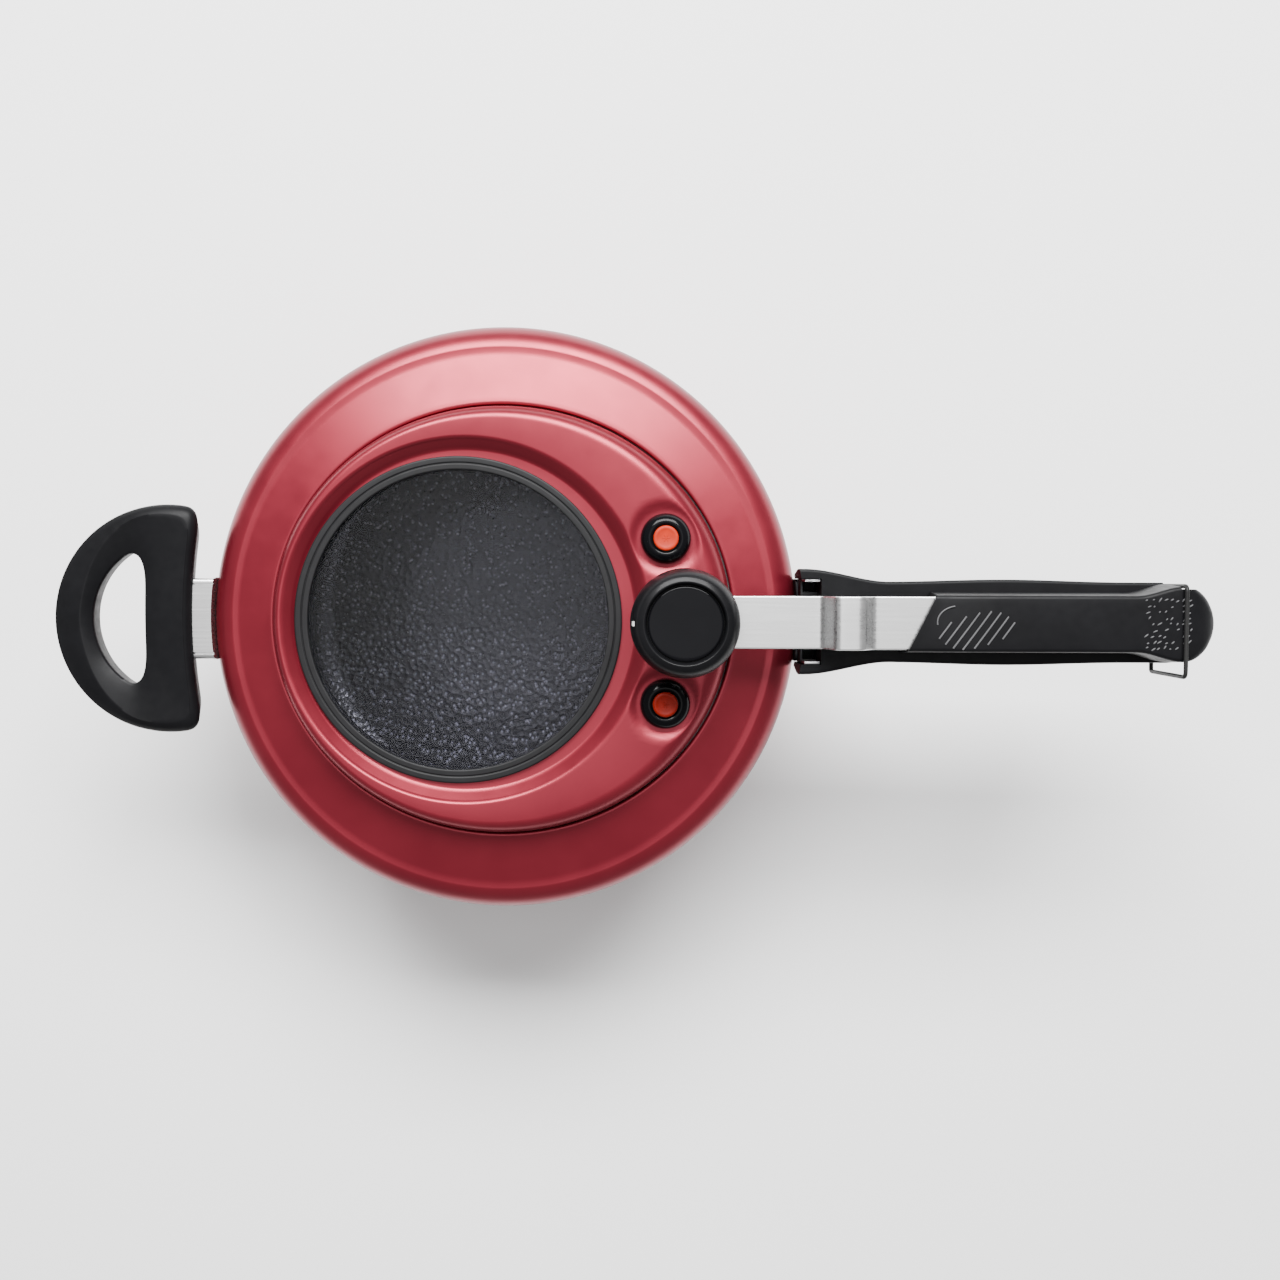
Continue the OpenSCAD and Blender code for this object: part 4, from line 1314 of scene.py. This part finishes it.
def pebble_faces(start, count=10):
    """Faces of one pip whose three rings of points begin at index start."""
    faces = []
    for ring in range(2):
        here = start + count * ring
        there = here + count
        for k in range(count):
            n = (k + 1) % count
            faces.append((here + k, here + n, there + n, there + k))
    faces.append(tuple(range(start, start + count))[::-1])
    faces.append(tuple(range(start + 2 * count, start + 3 * count)))
    return faces


def build_grip_pebbles():
    """Raised pips, scattered on the end of the lid handle, as one mesh."""
    scatter = np.random.default_rng(7)
    step = 2.3
    vertices = []
    faces = []
    for row in range(9):
        for column in range(8):
            x = 249.5 + step * column + 0.5 * (row % 2) + scatter.uniform(-0.4, 0.4)
            y = -9.2 + step * row + scatter.uniform(-0.4, 0.4)
            high, _, top_z = lid_grip_station(x)
            if abs(y) > high - 1.6 or scatter.random() < 0.25:
                continue
            long_r = scatter.uniform(0.45, 1.25)
            turned = scatter.uniform(0.3, 1.0)
            z = top_z - GRIP_CROWN * (y / high) ** 2 - 0.12
            faces += pebble_faces(len(vertices))
            vertices += pebble_rings(x, y, z, long_r, 0.34, turned)
    mesh = mesh_from("pebbles", vertices, faces)
    # The pips take the lighter black: painted highlight.
    add_piece("grip_pebbles", mesh, "lever", "handle_plastic", looks=["highlight_plastic"])


# ---------------------------------------------------------------- lower handle


def grip_half_width(x):
    """Half the width of the lower handle at X: flared at the root, a little full in the middle."""
    root = 5 * (1 - smooth((x - GRIP_LOW[0]) / 34))
    return GRIP_END_R + root + np.sin(np.pi * smooth((x - 150) / 100))


def body_grip_ring(x):
    """Cross-section of the lower handle at X. It is narrower below, and rounded at the end."""
    top_z = GRIP_HIGH[2]
    waist_z = 119
    if x > BAIL_X:
        reach = np.sqrt(max(1 - ((x - BAIL_X) / GRIP_END_R) ** 2, 0))
        half = max(GRIP_END_R * reach, 0.3)
    else:
        half = grip_half_width(max(x, GRIP_LOW[0]))
    foot = half * 0.84
    low_z = 97 + 7 * smooth((x - 126) / 24) - 1.0 * smooth((x - 150) / 20)
    low_z += 10 * (1 - np.sqrt(max(1 - (max(x - 270, 0) / 10.2) ** 2, 0)))
    corners = [(-foot, low_z), (foot, low_z), (half, waist_z), (half, top_z)]
    corners += [(-half, top_z), (-half, waist_z)]
    edge = min(1.4, half * 0.5)
    return [(x, y, z) for y, z in rounded(corners, [3.4, 3.4, 5, edge, edge, 5], 5)]


def build_body_grip():
    """The lower handle, cut away for the pot, the bracket, the hook, the bail and the screws."""
    run = list(np.linspace(GRIP_LOW[0] - 6, BAIL_X, 76))
    run += [x for x, _ in arc(BAIL_X, 0, GRIP_END_R, 86, 1, 23)]
    mesh = skin("body_grip", [body_grip_ring(x) for x in run])
    saddle = box("body_bracket")[1][1] + 0.1
    hook = HOOK_HIGH[1] + 0.2
    shelf = BRACKET_SHELF + 0.1
    cutters = [
        upright(POT_R + 2.2, 0, 0, high_z=104, count=ROUND),
        upright(POT_R + 0.4, 0, 0, count=ROUND),
        block((100, -saddle, 103.8), (POT_R + 7.2, saddle, DRILL_HIGH)),
        block((100, -hook, 111), (ROLL_X + 2, hook, DRILL_HIGH)),
        block((100, -shelf, 111.9), (154.2, shelf, 114.5)),
        bail_flat(),
    ]
    node = "body_handle_screws"
    for y, _ in either_side(screw_spread(node)):
        cutters.append(upright(SCREW_HEAD_R + 0.1, centre(node)[0], y, high_z=105))
    mesh = combined(mesh, cutters)
    add_piece("body_grip", mesh, "pot", "handle_plastic", ["body_handle"], 50)


# ---------------------------------------------------------------- helper handle


def between(low, high, share):
    """The value this share of the way from low to high."""
    return low + (high - low) * share


def filled_in(outline, count):
    """The closed outline with count points on each of its sides."""
    dense = []
    for a, b in zip(outline, outline[1:] + outline[:1]):
        a = np.array(a)
        b = np.array(b)
        dense += [a + (b - a) * s for s in np.linspace(0, 1, count, endpoint=False)]
    return dense


def helper_outline(points, corner_r, soften, count=240):
    """Resamples an outline by the angle seen from the middle of the hole, and softens it.

    Returns the angles, and how far the softened outline is at each.
    """
    dense = np.array(filled_in(rounded(points, corner_r, 10), 12))
    dense[:, 0] -= HELPER_HOLE_X
    angle = np.arctan2(dense[:, 1], dense[:, 0])
    far = np.hypot(dense[:, 0], dense[:, 1])
    order = np.argsort(angle)
    wanted = np.linspace(-np.pi, np.pi, count, endpoint=False)
    radius = np.interp(wanted, angle[order], far[order], period=2 * np.pi)
    weights = np.hanning(2 * soften + 3)[1:-1]
    wrapped = np.concatenate([radius[-soften:], radius, radius[:soften]])
    return wanted, np.convolve(wrapped, weights / weights.sum(), "valid")


def helper_edges():
    """The D-shaped outside of the helper handle and its D-shaped hole, by angle."""
    outer_r = (HELPER_HIGH[1] - HELPER_LOW[1]) / 2
    centre_x = HELPER_LOW[0] + outer_r
    inner_x = -127.7
    corner = np.degrees(np.arccos((inner_x + 4 - centre_x) / outer_r))
    points = arc(centre_x, 0, outer_r, corner, 360 - corner, 39)
    bow = 269.0  # radius of the nearly straight side that faces the pot
    for y in np.linspace(-outer_r + 9, outer_r - 9, 17):
        points.append((inner_x + bow - np.sqrt(bow**2 - y * y), y))
    angles, outer = helper_outline(points, 5.0, 5)

    hole_r = 30.8
    edge_x = -146.6
    turn = np.degrees(np.arccos((edge_x - 0.5 - centre_x) / hole_r))
    points = arc(centre_x, 0, hole_r, turn + 6, 354 - turn, 29)
    points += [(edge_x, y) for y in np.linspace(-22, 22, 9)]
    _, hole = helper_outline(points, 4.0, 8)
    return angles, outer, hole


def helper_rings():
    """Rings round the helper handle's section: up the outside, over the ridge, into the hole."""
    angles, outer, hole = helper_edges()
    low_z, high_z = HELPER_LOW[2], HELPER_HIGH[2]
    facing = (1 - np.cos(angles)) / 2
    ridge = 0.14 + 0.56 * smooth((facing - 0.25) / 0.75)
    rim_z = high_z - 2.2 - 0.8 * smooth((facing - 0.15) / 0.85)
    hole_z = high_z - 2.0 - 1.0 * smooth((facing - 0.3) / 0.5)

    def ring(share, z):
        """A ring this share of the way from the outside to the hole."""
        radius = between(outer, hole, share)
        z = np.broadcast_to(z, radius.shape)
        return np.stack([HELPER_HOLE_X + radius * np.cos(angles), radius * np.sin(angles), z], 1)

    return [
        ring(0.26, low_z),
        ring(0.18, low_z + 0.8),
        ring(0.12, low_z + 3.0),
        ring(0.05, between(low_z, rim_z, 0.6)),
        ring(0.0, rim_z - 1.8),
        ring(0.012, rim_z - 0.5),
        ring(0.035, rim_z + 0.15),
        ring(ridge * 0.5, between(rim_z + 0.2, high_z, 0.62)),
        ring(ridge * 0.88, high_z - 0.35),
        ring(ridge, high_z),
        ring(ridge + 0.05, high_z - 0.12),
        ring(between(ridge, 1, 0.5), between(high_z, hole_z, 0.42)),
        ring(between(ridge, 1, 0.9), between(high_z, hole_z, 0.9)),
        ring(0.985, hole_z - 0.3),
        ring(1.0, hole_z - 1.2),
        ring(0.93, low_z + 4.0),
        ring(0.86, low_z + 0.9),
        ring(0.78, low_z),
    ]


def build_helper():
    """The helper handle, with the pocket for its bracket and the holes for its screws."""
    cutters = [block((-140.1, -16.6, 100.9), (-110, 16.6, 109.1))]
    node = "helper_screws"
    for y, _ in either_side(screw_spread(node)):
        cutters.append(upright(SCREW_HEAD_R + 0.1, centre(node)[0], y, high_z=98))
        cutters.append(upright(2.1, centre(node)[0], y, high_z=102))
    mesh = combined(skin("helper", helper_rings(), loop=True), cutters)
    replaced = ["helper_handle"]
    add_piece("helper_grip", mesh, "pot", "handle_plastic", replaced, 42)


# ---------------------------------------------------------------- brackets


def wall_plate(side):
    """A steel plate bent to the pot's wall, with rounded corners."""
    low_z, high_z = 80.0, 106.0
    middle_z = (low_z + high_z) / 2
    half_height = high_z - middle_z
    corners = [(-PLATE_HALF, low_z), (PLATE_HALF, low_z), (PLATE_HALF, high_z), (-PLATE_HALF, high_z)]
    outline = filled_in(rounded(corners, 3.0, 5), 6)
    rings = []
    for out, inset in ((0.1, 0.25), (0.4, 0), (1.4, 0), (1.7, 0.3)):
        ring = []
        for y, z in outline:
            y = y * (1 - inset / PLATE_HALF)
            z = middle_z + (z - middle_z) * (1 - inset / half_height)
            ring.append((side * np.sqrt((POT_R + out) ** 2 - y * y), y, z))
        rings.append(ring)
    return skin("plate", rings)


def rounded_block(low, high, radius=0.6):
    """A box with rounded edges."""
    (x0, y0, z0), (x1, y1, z1) = low, high
    outline = np.array(rounded([(x0, y0), (x1, y0), (x1, y1), (x0, y1)], radius, 4))
    middle = np.array([(x0 + x1) / 2, (y0 + y1) / 2])
    half = np.array([(x1 - x0) / 2, (y1 - y0) / 2])
    small = radius * 0.3
    levels = [(z0, radius), (z0 + small, small), (z0 + radius, 0)]
    levels += [(z1 - radius, 0), (z1 - small, small), (z1, radius)]
    rings = []
    for z, inset in levels:
        ring = middle + (outline - middle) * (1 - inset / half)
        rings.append([(x, y, z) for x, y in ring])
    return skin("block", rings)


def build_body_bracket():
    """The bracket of the lower handle: a bent plate, a shelf and two upright cheeks."""
    shelf = BRACKET_SHELF
    parts = [
        rounded_block((POT_R + 0.3, -shelf, 104), (POT_R + 1.9, shelf, 113.8), 0.5),
        rounded_block((POT_R + 0.3, -shelf, 112), (153, shelf, 114.4), 0.7),
        rounded_block((POT_R + 0.2, -PLATE_HALF, 103.5), (POT_R + 1.7, PLATE_HALF, 114.2), 0.5),
    ]
    mesh = combined(wall_plate(1), parts, "UNION")
    # The plate and shelf take the darkened steel, which paints the shade of the pocket under the strap;
    # the cheeks stay bright.
    add_piece("handle_bracket", mesh, "pot", "steel", ["body_bracket"], 40, looks=["painted_shade_steel"])
    for side, name in ((1, "a"), (-1, "b")):
        low_y, high_y = sorted((15.8 * side, PLATE_HALF * side))
        mesh = rounded_block((POT_R + 0.7, low_y, 103.5), (POT_R + 6.9, high_y, 126.4), 0.35)
        add_piece(f"bracket_cheek_{name}", mesh, "pot", "steel", ["body_bracket"], 40)


def build_helper_bracket():
    """The bracket of the helper handle: a bent plate and a hollow, grooved tongue."""
    half = 16.5
    low_z, high_z = 101.0, 109.0
    corners = [(-half, low_z), (half, low_z), (half, high_z), (-half, high_z)]
    outline = rounded(corners, 1.6, 5)
    run = np.linspace(-140, -115.2, 26)
    tongue = skin("channel", [[(x, y, z) for y, z in outline] for x in run])
    groove = 14.2
    cutters = [
        block((-150, -groove - 0.5, high_z - 1.2), (-100, -groove + 0.5, high_z + 1)),
        block((-150, groove - 0.3, high_z - 1.0), (-100, groove + 0.3, high_z + 1)),
        block((-142, -14.8, low_z + 1.5), (-122.5, 14.8, high_z - 1.5)),
        upright(POT_R + 0.05, 0, 0, count=ROUND),
    ]
    mesh = combined(combined(tongue, cutters), [wall_plate(-1)], "UNION")
    add_piece("helper_mount", mesh, "pot", "steel", ["helper_bracket"], 40, looks=["strap_steel"])


# ---------------------------------------------------------------- bail


def build_bail():
    """The closed wire loop round the end of both handles. It is thinner than its CAD node."""
    cad_r = 1.0
    near = BAIL_HIGH[1] - cad_r
    far = BAIL_LOW[1] + cad_r
    low = BAIL_LOW[2] + cad_r
    high = BAIL_HIGH[2] - cad_r
    corners = [(near, low), (near, high), (far, high), (far, low)]
    turns = rounded(corners, [1.3, 2.4, 2.4, 1.3], 6)
    outline = []
    for a, b in zip(turns, turns[1:] + turns[:1]):
        step = np.array(b) - np.array(a)
        parts = max(1, int(np.linalg.norm(step) // 2))
        outline += [np.array(a) + step * s / parts for s in range(parts)]
    mesh = tube("bail", [(BAIL_X, y, z) for y, z in outline], 0.85, closed=True, sides=20)
    add_piece("bail_wire", mesh, "bail", "wire_black", ["lock_bail"])


add_camera()
add_lights()
add_stage()
build_pot()
build_studs()
build_lid()
build_lid_gasket()
build_window()
# Lit and shaded copies of one red for the two buttons: painted light and painted shade.
build_valve("indicator", "indicator_pin", "indicator", "valve_orange")
build_valve("safety", "safety_plug", "safety", "valve_red")
build_safety_spring()
build_nuts()
build_screws()
build_rivets()
build_vent()
build_knob()
build_weight()
build_strap()
build_hook()
build_lid_grip()
build_grip_ribs()
build_grip_pebbles()
build_body_grip()
build_helper()
build_body_bracket()
build_helper_bracket()
build_bail()
